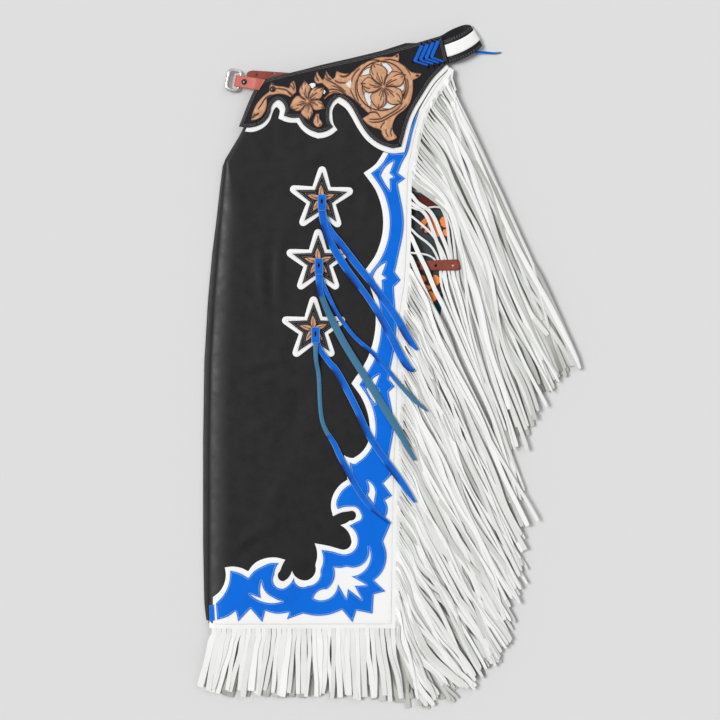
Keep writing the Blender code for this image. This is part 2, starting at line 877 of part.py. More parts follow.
def loft(name, rings, slot, smooth=False):
    """A closed body through rings of equally many points."""
    mesh = bmesh.new()
    rows = [[mesh.verts.new(point) for point in ring] for ring in rings]
    count = len(rows[0])
    for first, second in zip(rows, rows[1:]):
        for i in range(count):
            j = (i + 1) % count
            mesh.faces.new((first[i], first[j], second[j], second[i]))
    mesh.faces.new(list(reversed(rows[0])))
    mesh.faces.new(rows[-1])
    return add_object(name, mesh, slot, smooth)


def leg_section(row):
    """Across the near leg's panel: its outer face, the rolled lip, then its inner face."""
    outer = [(row.back, layers_top(row.back) + PANEL.high)] + fold_profile(row, 0.0)
    inner = fold_profile(row, LEATHER)[::-1] + [(row.back, layers_top(row.back) + PANEL.low)]
    return [(x, row.y, z) for x, z in outer + inner]


def layers_section(row):
    """Across the hidden layers: flat underneath, layered at the back edge, the far leg's fold in front."""
    front = row.fold - row.far_out
    back = row.back - 1.5
    ledge = FOLD_FLOOR - 0.6
    face = fold_profile(row, PANEL.high)
    points = [(front + 3.5, 0.0), (back, 0.0), (back, 2.4), (back - 2.0, 2.6), (back - 2.0, 3.1)]
    points += [(back - 0.5, 3.3), (back - 0.5, layers_top(back - 0.5))]
    points += face[:-1]
    points += [(face[-1][0], ledge), (front + 3.0, ledge)]
    points += [(front + 0.9, 4.1), (front, 2.5), (front + 0.9, 0.8)]
    return [(x, row.y, z) for x, z in points]


def build_leg():
    loft("leg_panel", [leg_section(row) for row in LEG_ROWS], "black_leather", smooth=True)
    under_rows = [LEG_ROWS[0]._replace(y=LEG_ROWS[0].y + 4.0)] + list(LEG_ROWS[1:])
    loft("hidden_layers", [layers_section(row) for row in under_rows], "black_leather", smooth=True)


def build_border():
    seam = outline(SIDE_SEAM, closed=False)
    seam_back = [point for point in reversed(seam) if point[1] < 484]
    corner = [(-292.0, HEM_Y), (SIDE_SEAM[-1].x, HEM_Y)]
    white = outline(WHITE_FLAME, closed=False) + corner + seam_back + list(BEHIND_YOKE)
    laid("border_white", [white], UNDER, "white_leather")

    spikes = outline(BLUE_SPIKES, closed=False)
    blue = outline(BLUE_FLAME, closed=False) + spikes[::-1] + list(BLUE_BEHIND_YOKE)
    windows = [outline(BURST_WINDOW), outline(CRESCENT_WINDOW), outline(HOOK_WINDOW)]
    for dx, dy in ARROW_DROPS:
        windows.append(outline([turn._replace(x=turn.x + dx, y=turn.y + dy) for turn in ARROW_WINDOW]))
    laid("border_blue", [blue] + windows, OVER, "blue_leather")
    laid("border_end", [BORDER_END], OVER, "blue_leather")


def flower(centre, petals):
    """Outline of a flower from its table of petals."""
    points = []

    def add(angle, reach):
        turn = math.radians(angle)
        points.append((centre[0] + reach * math.cos(turn), centre[1] + reach * math.sin(turn)))

    for before, petal in zip((petals[-1],) + petals[:-1], petals):
        notch_before = before.notch_angle - (360 if before.notch_angle > petal.angle else 0)
        for step in reversed(PETAL_STEPS):
            angle = petal.angle + (notch_before - petal.angle) * step
            swell = (1 - step) ** PETAL_ROUNDING
            add(angle, before.notch_reach + (petal.reach - before.notch_reach) * swell)
        add(petal.angle, petal.reach)
        for step in PETAL_STEPS:
            angle = petal.angle + (petal.notch_angle - petal.angle) * step
            swell = (1 - step) ** PETAL_ROUNDING
            add(angle, petal.notch_reach + (petal.reach - petal.notch_reach) * swell)
        add(petal.notch_angle, petal.notch_reach)
    return points


def build_yoke():
    laid("yoke_underlay", [outline(YOKE_UNDERLAY_EDGE)], UNDER, "white_leather")
    laid("yoke", [outline(YOKE_EDGE)], YOKE, "black_leather")
    hole = VINE_HOLE
    laid("stem_leaf", [outline(STEM_LEAF)], TOOLED, "tooled_leather")
    laid("bud", [outline(BUD)], TOOLED, "tooled_leather")
    laid("vine", [outline(VINE), circle(hole["x"], hole["y"], hole["radius"], 32)], TOOLED, "tooled_leather")
    laid("inlay", [circle(hole["x"], hole["y"], INLAY_RADIUS, 32)], TOOLED, "white_leather")
    laid("flower_small", [flower(SMALL_FLOWER_AT, SMALL_FLOWER)], TOOLED, "tooled_leather")
    laid("flower_large", [flower(LARGE_FLOWER_AT, LARGE_FLOWER)], RAISED, "tooled_leather")


def chevron_outline(row):
    """A bent thong: down its lower arm from the point and back, then up its upper arm and back."""
    tip = Vector((row.tip_x, row.tip_y))
    up = (Vector((row.up_x, row.up_y)) - tip).normalized()
    down = (Vector((row.down_x, row.down_y)) - tip).normalized()
    into_up = Vector((up.y, -up.x)) * THONG["up"]
    into_down = Vector((-down.y, down.x)) * THONG["down"]
    up_end = Vector((row.up_x, row.up_y))
    down_end = Vector((row.down_x, row.down_y))
    inner, _ = intersect_line_line(
        (tip + into_up).to_3d(),
        (up_end + into_up).to_3d(),
        (tip + into_down).to_3d(),
        (down_end + into_down).to_3d(),
    )
    corners = (tip, down_end, down_end + into_down, inner, up_end + into_up, up_end)
    return [(corner[0], corner[1]) for corner in corners]


def build_lacing():
    for i, row in enumerate(CHEVRONS):
        laid(f"lacing_{i + 1}", [chevron_outline(row)], TOOLED, "blue_leather")


def band_rings(stations, low_share, high_share, inner, outer):
    """Four-cornered rings along a band between two shares of its width and two offsets from its middle."""
    tops = [Vector((s.top_x, s.top_y, s.z)) for s in stations]
    lows = [Vector((s.low_x, s.low_y, s.z)) for s in stations]
    middles = [(top + low) / 2 for top, low in zip(tops, lows)]
    rings = []
    for i, (top, low) in enumerate(zip(tops, lows)):
        along = middles[min(i + 1, len(middles) - 1)] - middles[max(i - 1, 0)]
        out = along.cross(top - low).normalized()
        near_low = low.lerp(top, low_share)
        near_top = low.lerp(top, high_share)
        inward = out * inner
        outward = out * outer
        rings.append((near_low + inward, near_low + outward, near_top + outward, near_top + inward))
    return rings


def build_belt():
    half = BELT_THICKNESS / 2
    loft("belt", band_rings(BELT, 0.0, 1.0, -half, half), "black_leather", smooth=True)
    rings = band_rings(BELT, BELT_OVERLAY["low"], BELT_OVERLAY["high"], half + 0.9, half + 1.9)
    kept = rings[BELT_OVERLAY["first"] : BELT_OVERLAY["last"] + 1]
    loft("belt_overlay", kept, "white_leather", smooth=True)
    ribbon("thong_end", THONG_END, 4.4, 1.2, "blue_leather", floor=True)


def ribbon(name, stations, width, thickness, slot, floor=False, tip=0.45):
    """A flat thong along stations; lift is above the layers under the near leg, or above the floor."""
    rings = []
    count = len(stations)
    for i, here in enumerate(stations):
        before = stations[max(i - 1, 0)]
        after = stations[min(i + 1, count - 1)]
        along = Vector((after.x - before.x, after.y - before.y, 0)).normalized()
        half = width / 2 * (tip if i == count - 1 else 1.0)
        across = Vector((-along.y, along.x, 0)) * half
        level = here.lift if floor else leg_top(here.x) - PANEL.high + here.lift
        middle = Vector((here.x, here.y, level + thickness / 2))
        up = Vector((0, 0, thickness / 2))
        rings.append((middle - across - up, middle + across - up, middle + across + up, middle - across + up))
    return loft(name, rings, slot)


def star(place, size):
    """A five-pointed star, its points rounded where the size gives them a radius."""
    points = []
    for i in range(5):
        axis = math.radians(90 + place.turned + 72 * i)
        middle = size.outer - size.tip_radius
        fans = (-73, -36, 0, 36, 73) if size.tip_radius else (0,)
        for fan in fans:
            turn = axis + math.radians(fan)
            x = middle * math.cos(axis) + size.tip_radius * math.cos(turn)
            y = middle * math.sin(axis) + size.tip_radius * math.sin(turn)
            points.append((place.x + x, place.y + y))
        notch = axis + math.radians(36)
        points.append((place.x + size.inner * math.cos(notch), place.y + size.inner * math.sin(notch)))
    return points


def knot_loops(place):
    """The tab over a star's middle, with cut corners and the slit that the thong goes through."""
    wide, long, corner = KNOT["half_width"], KNOT["half_length"], KNOT["corner"]
    tab = []
    for x, y in ((wide, long), (-wide, long), (-wide, -long), (wide, -long)):
        to_x = (x, y - math.copysign(corner, y))
        to_y = (x - math.copysign(corner, x), y)
        tab += [to_x, to_y] if x * y > 0 else [to_y, to_x]
    slit = [(KNOT["hole_x"] * x, KNOT["hole_y"] * y + KNOT["hole_up"]) for x, y in circle(0, 0, 1.0, 10)]
    return [[(place.knot_x + x, place.knot_y + y) for x, y in loop] for loop in (tab, slit)]


def build_stars():
    layers = (
        ("white", UNDER, "white_leather"),
        ("black", OVER, "black_leather"),
        ("flower", STAR_TOP, "tooled_leather"),
    )
    for i, place in enumerate(STARS):
        for layer, level, slot in layers:
            laid(f"star_{layer}_{i + 1}", [star(place, STAR_SIZES[layer])], level, slot)
        laid(f"knot_{i + 1}", knot_loops(place), KNOT_LEVEL, "blue_leather")
    for tie in TIES:
        ribbon(tie.name, tie.stations, tie.width, TIE_THICKNESS, "blue_leather")


def in_strap_frame(piece, z=0.0):
    """Turns a piece made along the front strap and puts its origin on the ring bar's axis."""
    piece.location = (BAR_X * MM, BAR_Y * MM, z * MM)
    piece.rotation_euler = (0.0, 0.0, math.radians(STRAP_TURN))
    return piece


def build_front_strap():
    path = [Vector((x, 0, z)) for x, z in STRAP_PATH]
    rings = []
    for i, point in enumerate(path):
        along = path[min(i + 1, len(path) - 1)] - path[max(i - 1, 0)]
        out = Vector((0, 1, 0)).cross(along).normalized() * (STRAP_THICKNESS / 2)
        slant = Vector((STRAP_SLANT if i == 0 else 0.0, 0, 0))
        half = Vector((0, STRAP_WIDTH / 2, 0))
        lower = point - half - slant
        upper = point + half + slant
        rings.append((lower - out, upper - out, upper + out, lower + out))
    in_strap_frame(loft("strap_front", rings, "strap_leather", smooth=True))


def ring_path():
    """(x, y, half width) round the ring, its bar on the y axis and the rest towards -x."""
    reach, tall, corner = RING["bar_to_left"], RING["half_height"], RING["corner"]
    points = []
    for centre_x, centre_y, first in (
        (-corner, tall - corner, 0),
        (corner - reach, tall - corner, 90),
        (corner - reach, corner - tall, 180),
        (-corner, corner - tall, 270),
    ):
        for step in range(5):
            angle = math.radians(first + 90 * step / 4)
            x = centre_x + corner * math.cos(angle)
            y = centre_y + corner * math.sin(angle)
            share = -x / reach
            points.append((x, y, BAR_RADIUS + share * (RING["left_half"] - BAR_RADIUS)))
    return points


def build_ring():
    sides = 8
    mesh = bmesh.new()
    path = ring_path()
    rings = []
    for i, (x, y, half) in enumerate(path):
        before = Vector(path[i - 1][:2])
        after = Vector(path[(i + 1) % len(path)][:2])
        along = (after - before).normalized()
        out = Vector((along.y, -along.x, 0))
        share = -x / RING["bar_to_left"]
        deep = BAR_RADIUS + share * (RING["depth"] - BAR_RADIUS)
        ring = []
        for k in range(sides):
            angle = 2 * math.pi * k / sides
            offset = out * (half * math.cos(angle)) + Vector((0, 0, deep * math.sin(angle)))
            ring.append(mesh.verts.new(Vector((x, y, 0)) + offset))
        rings.append(ring)
    for i, ring in enumerate(rings):
        after = rings[(i + 1) % len(rings)]
        for k in range(sides):
            j = (k + 1) % sides
            mesh.faces.new((ring[k], ring[j], after[j], after[k]))
    in_strap_frame(add_object("buckle_ring", mesh, "chrome", smooth=True), BAR_Z)


def dome(name, radius, height, slot, rows=3, count=16):
    """A rivet's head: a low dome on a flat round base at its origin."""
    rings = []
    for row in range(rows + 1):
        angle = math.radians(80 * row / rows)
        rim = circle(0, 0, radius * math.cos(angle), count)
        rings.append([(x, y, height * math.sin(angle)) for x, y in rim])
    return loft(name, rings, slot, smooth=True)


def build_rivets():
    slope = math.radians(STRAP_SLOPE)
    lift = STRAP_THICKNESS / 2 + GAP
    middle_z = 10.9 + (RIVET_X - 2.0) * math.tan(slope)
    head = dome("rivet_dome", RIVET_RADIUS, 2.6, "rivet_metal")
    washer = dome("rivet_washer", RIVET_RADIUS * 0.48, 0.9, "rivet_metal")
    turn = math.radians(STRAP_TURN)
    under = lift + STRAP_THICKNESS + 0.4
    for piece, offset, tilt in ((head, lift, -slope), (washer, -under, math.pi - slope)):
        local_x = RIVET_X - offset * math.sin(slope)
        z = middle_z + offset * math.cos(slope)
        piece.location = (
            (BAR_X + local_x * math.cos(turn)) * MM,
            (BAR_Y + local_x * math.sin(turn)) * MM,
            z * MM,
        )
        piece.rotation_euler = (0.0, tilt, turn)
    small = dome("rivet_yoke", YOKE_RIVET["radius"], 1.6, "rivet_metal")
    level = leg_top(YOKE_RIVET["x"]) + TOOLED.high + GAP - PANEL.high
    small.location = (YOKE_RIVET["x"] * MM, YOKE_RIVET["y"] * MM, level * MM)


def build_far_side():
    holes = [circle(x, y, HOLE_RADIUS, 10) for x, y in FAR_STRAP_HOLES]
    flat("strap_far", [outline(FAR_STRAP)] + holes, (4.0, 6.2), "strap_leather")
    flat("flap", [outline(FLAP)], FLAP_Z, "suede")
    flat("strap_thigh", [outline(THIGH_STRAP)], STRAPS_Z, "strap_leather")
    holes = [circle(x, y, HOLE_RADIUS, 10) for x, y in LEG_STRAP_HOLES]
    flat("strap_leg", [outline(LEG_STRAP)] + holes, STRAPS_Z, "strap_leather")
    flat("keeper_upper", [outline(UPPER_KEEPER)], KEEPERS_Z, "black_leather")
    flat("keeper_lower", [outline(LOWER_KEEPER)], KEEPERS_Z, "black_leather")


def distances(points):
    """How far along a line of points each of them is."""
    reached = [0.0]
    for first, second in zip(points, points[1:]):
        reached.append(reached[-1] + math.dist(first, second))
    return reached


def place_on(points, reached, distance):
    """The point at a distance along a line, and the line's direction there."""
    distance = min(max(distance, 0.0), reached[-1])
    for i in range(len(points) - 1):
        if distance <= reached[i + 1]:
            break
    start = Vector(points[i])
    step = Vector(points[i + 1]) - start
    return start + step * ((distance - reached[i]) / (reached[i + 1] - reached[i])), step.normalized()


def smooth_place(points, reached, distance, reach=9.0):
    """As place_on, with the direction taken over a longer stretch, so that corners turn slowly."""
    point, _ = place_on(points, reached, distance)
    before, _ = place_on(points, reached, distance - reach)
    after, _ = place_on(points, reached, distance + reach)
    return point, (after - before).normalized()


def between_guides(guides, root):
    """Knee and tip of the lash whose root has this coordinate along the seam."""
    for first, second in zip(guides, guides[1:]):
        if root >= second.root:
            break
    share = min(max((first.root - root) / (first.root - second.root), 0.0), 1.0)
    knee = Vector((first.knee_x, first.knee_y)).lerp(Vector((second.knee_x, second.knee_y)), share)
    tip = Vector((first.tip_x, first.tip_y)).lerp(Vector((second.tip_x, second.tip_y)), share)
    return knee, tip


def lash_centres(reached, points, plan):
    """Distances along the seam of the lashes, sparser inside the plan's thin stretch."""
    centres = []
    distance = plan["first"]
    while distance < reached[-1] - plan["last"]:
        centres.append(distance)
        point, _ = place_on(points, reached, distance)
        thin = plan["thin"] and plan["thin"][0] < point.y < plan["thin"][1]
        distance += plan["thin_pitch"] if thin else plan["pitch"]
    return centres


def parted(points, y, gap):
    """The stretches of a falling line above and below a height, with a gap between their ends."""
    upper = [Vector(point) for point in points if point[1] > y + gap]
    lower = [Vector(point) for point in points if point[1] < y - gap]
    along = (lower[0] - upper[-1]).normalized()
    middle = upper[-1].lerp(lower[0], (upper[-1].y - y) / (upper[-1].y - lower[0].y))
    return upper + [middle - along * gap / 2], [middle + along * gap / 2] + lower


def fringe(name, seam, guides, plan):
    """Lashes cut from one narrow strip that lies along the outside of the seam."""
    wobble = random.Random(plan["seed"])
    reached = distances(seam)
    centres = lash_centres(reached, seam, plan)
    half_root = plan["root"] / 2
    marks = [0.0]
    lashes = {}
    for centre in centres:
        while centre - half_root - marks[-1] > plan["longest"]:
            marks.append(marks[-1] + plan["longest"] * 0.8)
        lashes[len(marks)] = centre
        marks += [centre - half_root, centre + half_root]
    if reached[-1] - marks[-1] > 1.0:
        marks.append(reached[-1])

    mesh = bmesh.new()
    stations = []
    for mark in marks:
        point, along = smooth_place(seam, reached, mark)
        out = Vector((-along.y, along.x))
        inner = point + out * STRIP_GAP
        outer = point + out * (STRIP_GAP + STRIP_WIDTH)
        base = leg_top(point.x) - PANEL.high
        corners = []
        for spot, side in ((outer, "high"), (outer, "low"), (inner, "low"), (inner, "high")):
            corners.append(mesh.verts.new((spot.x, spot.y, base + plan[side])))
        stations.append(corners)
    mesh.faces.new(stations[0])
    mesh.faces.new(stations[-1])
    for i, (first, second) in enumerate(zip(stations, stations[1:])):
        mesh.faces.new((first[0], second[0], second[3], first[3]))
        mesh.faces.new((first[1], first[2], second[2], second[1]))
        mesh.faces.new((first[2], first[3], second[3], second[2]))
        if i in lashes:
            lash(mesh, (first[0], first[1], second[1], second[0]), guides, plan, wobble)
        else:
            mesh.faces.new((first[0], first[1], second[1], second[0]))
    add_object(name, mesh, "white_leather")
    return len(lashes)


def lash(mesh, root, guides, plan, wobble):
    """One lash from its four root corners: it tilts at once, so that it overlaps the next like a shingle."""
    middle = sum((vert.co for vert in root), Vector()) / 4
    seam_along = (root[3].co - root[0].co).to_2d()
    knee, tip = between_guides(guides, middle.y if plan["by_height"] else middle.x)
    start = middle.to_2d()
    run = tip - knee
    tip = tip + run.normalized() * wobble.uniform(-plan["ragged"], plan["ragged"])
    bend = Vector((-run.y, run.x)).normalized() * wobble.uniform(-plan["bend"], plan["bend"])
    first_step = (knee - start).normalized() * plan["first_step"]
    line = [start, start + first_step, knee, knee.lerp(tip, 0.5) + bend, tip][: plan["sections"] + 1]
    line[-1] = tip
    total = sum(math.dist(a, b) for a, b in zip(line, line[1:]))
    previous = list(root)
    travelled = 0.0
    for i in range(1, len(line)):
        travelled += math.dist(line[i - 1], line[i])
        before = line[i - 1]
        after = line[min(i + 1, len(line) - 1)]
        along = (after - before).normalized()
        across = Vector((-along.y, along.x))
        if across.dot(seam_along) < 0:
            across.negate()
        if i == 1:
            half = seam_along / 2
        else:
            half = across * (plan["width"] / 2 * math.cos(plan["tilt"]))
        share = (travelled - plan["first_step"]) / max(total - plan["first_step"], 1.0)
        height = plan["knee_z"] + (plan["tip_z"] - plan["knee_z"]) * max(share, 0.0)
        rise = plan["width"] / 2 * math.sin(plan["tilt"])
        thick = plan["thickness"] / 2
        corners = []
        for side, up in ((-1, 1), (-1, -1), (1, -1), (1, 1)):
            spot = line[i] + half * side
            corners.append(mesh.verts.new((spot.x, spot.y, height - side * rise + up * thick)))
        for a in range(4):
            b = (a + 1) % 4
            mesh.faces.new((previous[a], previous[b], corners[b], corners[a]))
        previous = corners
    mesh.faces.new(previous)


def build_fringes():
    upper, lower = parted(outline(SIDE_SEAM, closed=False), **SIDE_PARTING)
    hem = [(x, HEM_Y) for x in (4.0, -60.0, -150.0, -240.0, -264.0, -285.0, -298.0)]
    counts = [
        fringe("side_fringe_upper", upper, SIDE_GUIDES, SIDE_PLAN),
        fringe("side_fringe_lower", lower, SIDE_GUIDES, SIDE_PLAN),
        fringe("side_fringe_under_upper", upper, UNDER_GUIDES, SIDE_UNDER_PLAN),
        fringe("side_fringe_under_lower", lower, UNDER_GUIDES, SIDE_UNDER_PLAN),
        fringe("hem_fringe", hem, HEM_GUIDES, HEM_PLAN),
        fringe("hem_fringe_under", hem, HEM_GUIDES, HEM_UNDER_PLAN),
    ]
    print("lashes", counts, sum(counts))


def origin_under_middle():
    """Moves everything so that the origin is on the floor under the middle of the whole."""
    bpy.context.view_layer.update()
    corners = []
    for piece in bpy.context.scene.objects:
        corners += [piece.matrix_world @ vert.co for vert in piece.data.vertices]
    low = [min(corner[i] for corner in corners) for i in range(3)]
    high = [max(corner[i] for corner in corners) for i in range(3)]
    shift = Vector(((low[0] + high[0]) / 2, (low[1] + high[1]) / 2, low[2]))
    for piece in bpy.context.scene.objects:
        piece.location -= shift
    print("moved by mm", [round(value / MM, 3) for value in shift])
    print("size mm", [round((high[i] - low[i]) / MM, 2) for i in range(3)])


def main():
    clear_scene()
    build_leg()
    build_border()
    build_yoke()
    build_lacing()
    build_belt()
    build_stars()
    build_front_strap()
    build_ring()
    build_rivets()
    build_far_side()
    build_fringes()
    origin_under_middle()


main()
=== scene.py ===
import random
from collections import namedtuple
from math import ceil, cos, exp, hypot, pi, radians, sin, sqrt, tan

import bmesh
import bpy
import numpy as np
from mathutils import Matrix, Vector, noise
from mathutils.geometry import delaunay_2d_cdt
from mathutils.kdtree import KDTree


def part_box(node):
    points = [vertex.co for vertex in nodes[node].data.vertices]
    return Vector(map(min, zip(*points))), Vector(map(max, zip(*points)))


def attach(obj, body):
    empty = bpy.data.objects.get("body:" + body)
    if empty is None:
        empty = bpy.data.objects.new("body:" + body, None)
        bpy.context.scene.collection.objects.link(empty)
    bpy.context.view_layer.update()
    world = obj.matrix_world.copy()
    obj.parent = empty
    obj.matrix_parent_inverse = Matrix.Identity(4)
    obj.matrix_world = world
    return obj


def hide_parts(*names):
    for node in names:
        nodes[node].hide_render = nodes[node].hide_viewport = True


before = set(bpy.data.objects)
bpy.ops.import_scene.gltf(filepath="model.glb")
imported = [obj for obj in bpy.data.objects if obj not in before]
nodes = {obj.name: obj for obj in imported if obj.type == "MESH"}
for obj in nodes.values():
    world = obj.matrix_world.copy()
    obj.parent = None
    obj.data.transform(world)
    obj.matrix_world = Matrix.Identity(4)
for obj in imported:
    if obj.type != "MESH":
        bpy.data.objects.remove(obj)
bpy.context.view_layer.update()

mm = 0.001

# The cutting table: every length below is in mm on it, x to the wearer's back and y to the waist.
stack = dict(frontX=-300.0, lowY=-430.0, front=12.0, backX=96.0, back=8.0, foldFloor=5.6)
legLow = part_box("leg_panel")[0]
shiftX = legLow[0] - stack["frontX"] * mm
shiftY = legLow[1] - stack["lowY"] * mm

panelTop = 2.5
levels = dict(
    under=(2.8, 4.0),
    over=(4.3, 5.5),
    yoke=(4.3, 6.5),
    tooled=(6.8, 8.4),
    raised=(8.7, 10.1),
    starTop=(5.8, 7.0),
    knot=(10.9, 12.5),
)


class Bundle:
    # points in mm, the faces over them, and the values that a finish reads at each point
    def __init__(self, points=(), faces=(), **layers):
        self.points, self.faces, self.loops = [], [], []
        self.layers = {}
        self.add(points, faces, **layers)

    def add(self, points, faces, **layers):
        start = len(self.points)
        self.points += [tuple(point) for point in points]
        self.faces += [tuple(start + i for i in face) for face in faces]
        for name, values in layers.items():
            self.layers.setdefault(name, [0.0] * start).extend(values)
        for name, values in self.layers.items():
            values += [0.0] * (len(self.points) - len(values))


made = {}  # every finished piece by its name
outlines = {}


def newObject(name, data):
    fresh = bpy.data.objects.new(name, data)
    bpy.context.scene.collection.objects.link(fresh)
    return fresh


def makePiece(name, bundle, finish, body="chaps", crease=50.0, replaces=()):
    outlines[name] = bundle.loops
    mesh = bpy.data.meshes.new(name)
    placed = np.asarray(bundle.points) * mm + (shiftX, shiftY, 0.0)
    mesh.from_pydata(placed.tolist(), [], bundle.faces)
    for layer, values in bundle.layers.items():
        mesh.attributes.new(layer, "FLOAT", "POINT").data.foreach_set("value", values)
    work = bmesh.new()
    work.from_mesh(mesh)
    bmesh.ops.recalc_face_normals(work, faces=work.faces)
    work.to_mesh(mesh)
    work.free()
    mesh.materials.append(finishes[finish])
    mesh.shade_smooth()
    mesh.set_sharp_from_angle(angle=radians(crease))
    piece = newObject(name, mesh)
    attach(piece, body)
    for node in replaces:
        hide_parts(node)
    made[name] = piece


def onTable(corner):
    return ((corner.co.x - shiftX) / mm, (corner.co.y - shiftY) / mm)


def smoothLoop(points, spacing, corner=27.0):
    # a closed curve through the points that keeps corners sharper than this many degrees
    flat = [Vector(point[:2]) for point in points]
    count = len(flat)
    ways = []
    for i in range(count):
        before, after = flat[i - 1], flat[(i + 1) % count]
        into, out = flat[i] - before, after - flat[i]
        sharp = into.length < 1e-6 or out.length < 1e-6 or into.angle(out) > radians(corner)
        ways.append(None if sharp else (after - before).normalized())
    curve = []
    for i in range(count):
        here, after = flat[i], flat[(i + 1) % count]
        run = (after - here).length
        if run < 1e-6:
            continue
        chord = (after - here) / run
        leave = (ways[i] or chord) * run
        arrive = (ways[(i + 1) % count] or chord) * run
        steps = max(1, ceil(run / spacing))
        for step in range(steps):
            t = step / steps
            curve.append(
                here * (2 * t**3 - 3 * t**2 + 1)
                + leave * (t**3 - 2 * t**2 + t)
                + after * (3 * t**2 - 2 * t**3)
                + arrive * (t**3 - t**2)
            )
    return curve


def cadLoops(nodeName):
    # the outlines of a flat CAD piece, in mm on the table, the outer one first
    work = bmesh.new()
    work.from_mesh(nodes[nodeName].data)
    bmesh.ops.remove_doubles(work, verts=work.verts, dist=2e-6)
    bmesh.ops.dissolve_limit(work, angle_limit=radians(1.0), verts=work.verts, edges=work.edges)
    work.normal_update()
    follows = {}
    for edge in work.edges:
        up = [face for face in edge.link_faces if face.normal.z > 0.3]
        if len(up) == 1:
            loop = next(loop for loop in up[0].loops if loop.edge == edge)
            follows.setdefault(loop.vert, []).append(loop.link_loop_next.vert)
    loops = []
    while follows:
        start = next(iter(follows))
        here, ring = start, []
        while here in follows:
            ring.append(here)
            afters = follows[here]
            after = afters.pop()
            if not afters:
                del follows[here]
            here = after
            if here == start:
                break
        flat = [Vector(onTable(corner)) for corner in ring]
        if len(flat) > 2:
            loops.append(withoutStraights(flat))
    work.free()
    loops.sort(key=lambda loop: -abs(area(loop)))
    return loops


def withoutStraights(loop):
    kept = []
    for i, point in enumerate(loop):
        into, out = point - loop[i - 1], loop[(i + 1) % len(loop)] - point
        if into.length > 1e-4 and out.length > 1e-4 and into.angle(out) > radians(0.4):
            kept.append(point)
    return kept


def area(loop):
    total = 0.0
    for here, after in zip(loop, loop[1:] + loop[:1]):
        total += here[0] * after[1] - after[0] * here[1]
    return total / 2


def insideOf(places, loops):
    # even and odd crossings of the outlines, for an array of places
    places = np.asarray(places)
    inside = np.zeros(len(places), bool)
    for loop in loops:
        ring = np.array([tuple(point[:2]) for point in loop])
        ends = np.roll(ring, -1, axis=0)
        for (x1, y1), (x2, y2) in zip(ring, ends):
            if y1 == y2:
                continue
            crossed = (places[:, 1] > y1) != (places[:, 1] > y2)
            reach = x1 + (places[:, 1] - y1) * (x2 - x1) / (y2 - y1)
            inside ^= crossed & (places[:, 0] < reach)
    return inside


def treeOf(dots):
    tree = KDTree(len(dots))
    for i, dot in enumerate(dots):
        tree.insert((dot[0], dot[1], 0.0), i)
    tree.balance()
    return tree


class Rims:
    # how far a place is from a set of closed outlines
    def __init__(self, loops, spacing=0.5):
        dots = []
        for loop in loops:
            for here, after in zip(loop, loop[1:] + loop[:1]):
                steps = max(1, ceil((after - here).length / spacing))
                dots += [here.lerp(after, step / steps) for step in range(steps)]
        self.tree = treeOf(dots)

    def far(self, x, y):
        return self.tree.find((x, y, 0.0))[2]


def stretches(points, kept):
    # unbroken stretches of the points that are kept
    runs = [[]]
    for point, good in zip(points, kept):
        if good:
            runs[-1].append(point)
        else:
            runs.append([])
    return [run for run in runs if len(run) > 1]


def insetRuns(loop, depth, rims):
    # stretches of points a given way inside an outline
    turn = 1.0 if area(loop) > 0 else -1.0
    moved = []
    for i, point in enumerate(loop):
        along = loop[(i + 1) % len(loop)] - loop[i - 1]
        if along.length > 1e-6:
            along.normalize()
            moved.append(point + Vector((-along.y, along.x)) * depth * turn)
    return stretches(moved, [rims.far(place.x, place.y) > abs(depth) * 0.95 for place in moved])


rimFade = 2.4  # how far in from its edge a sheet looks rubbed
reliefFade = 0.8  # how far in its relief has its full height


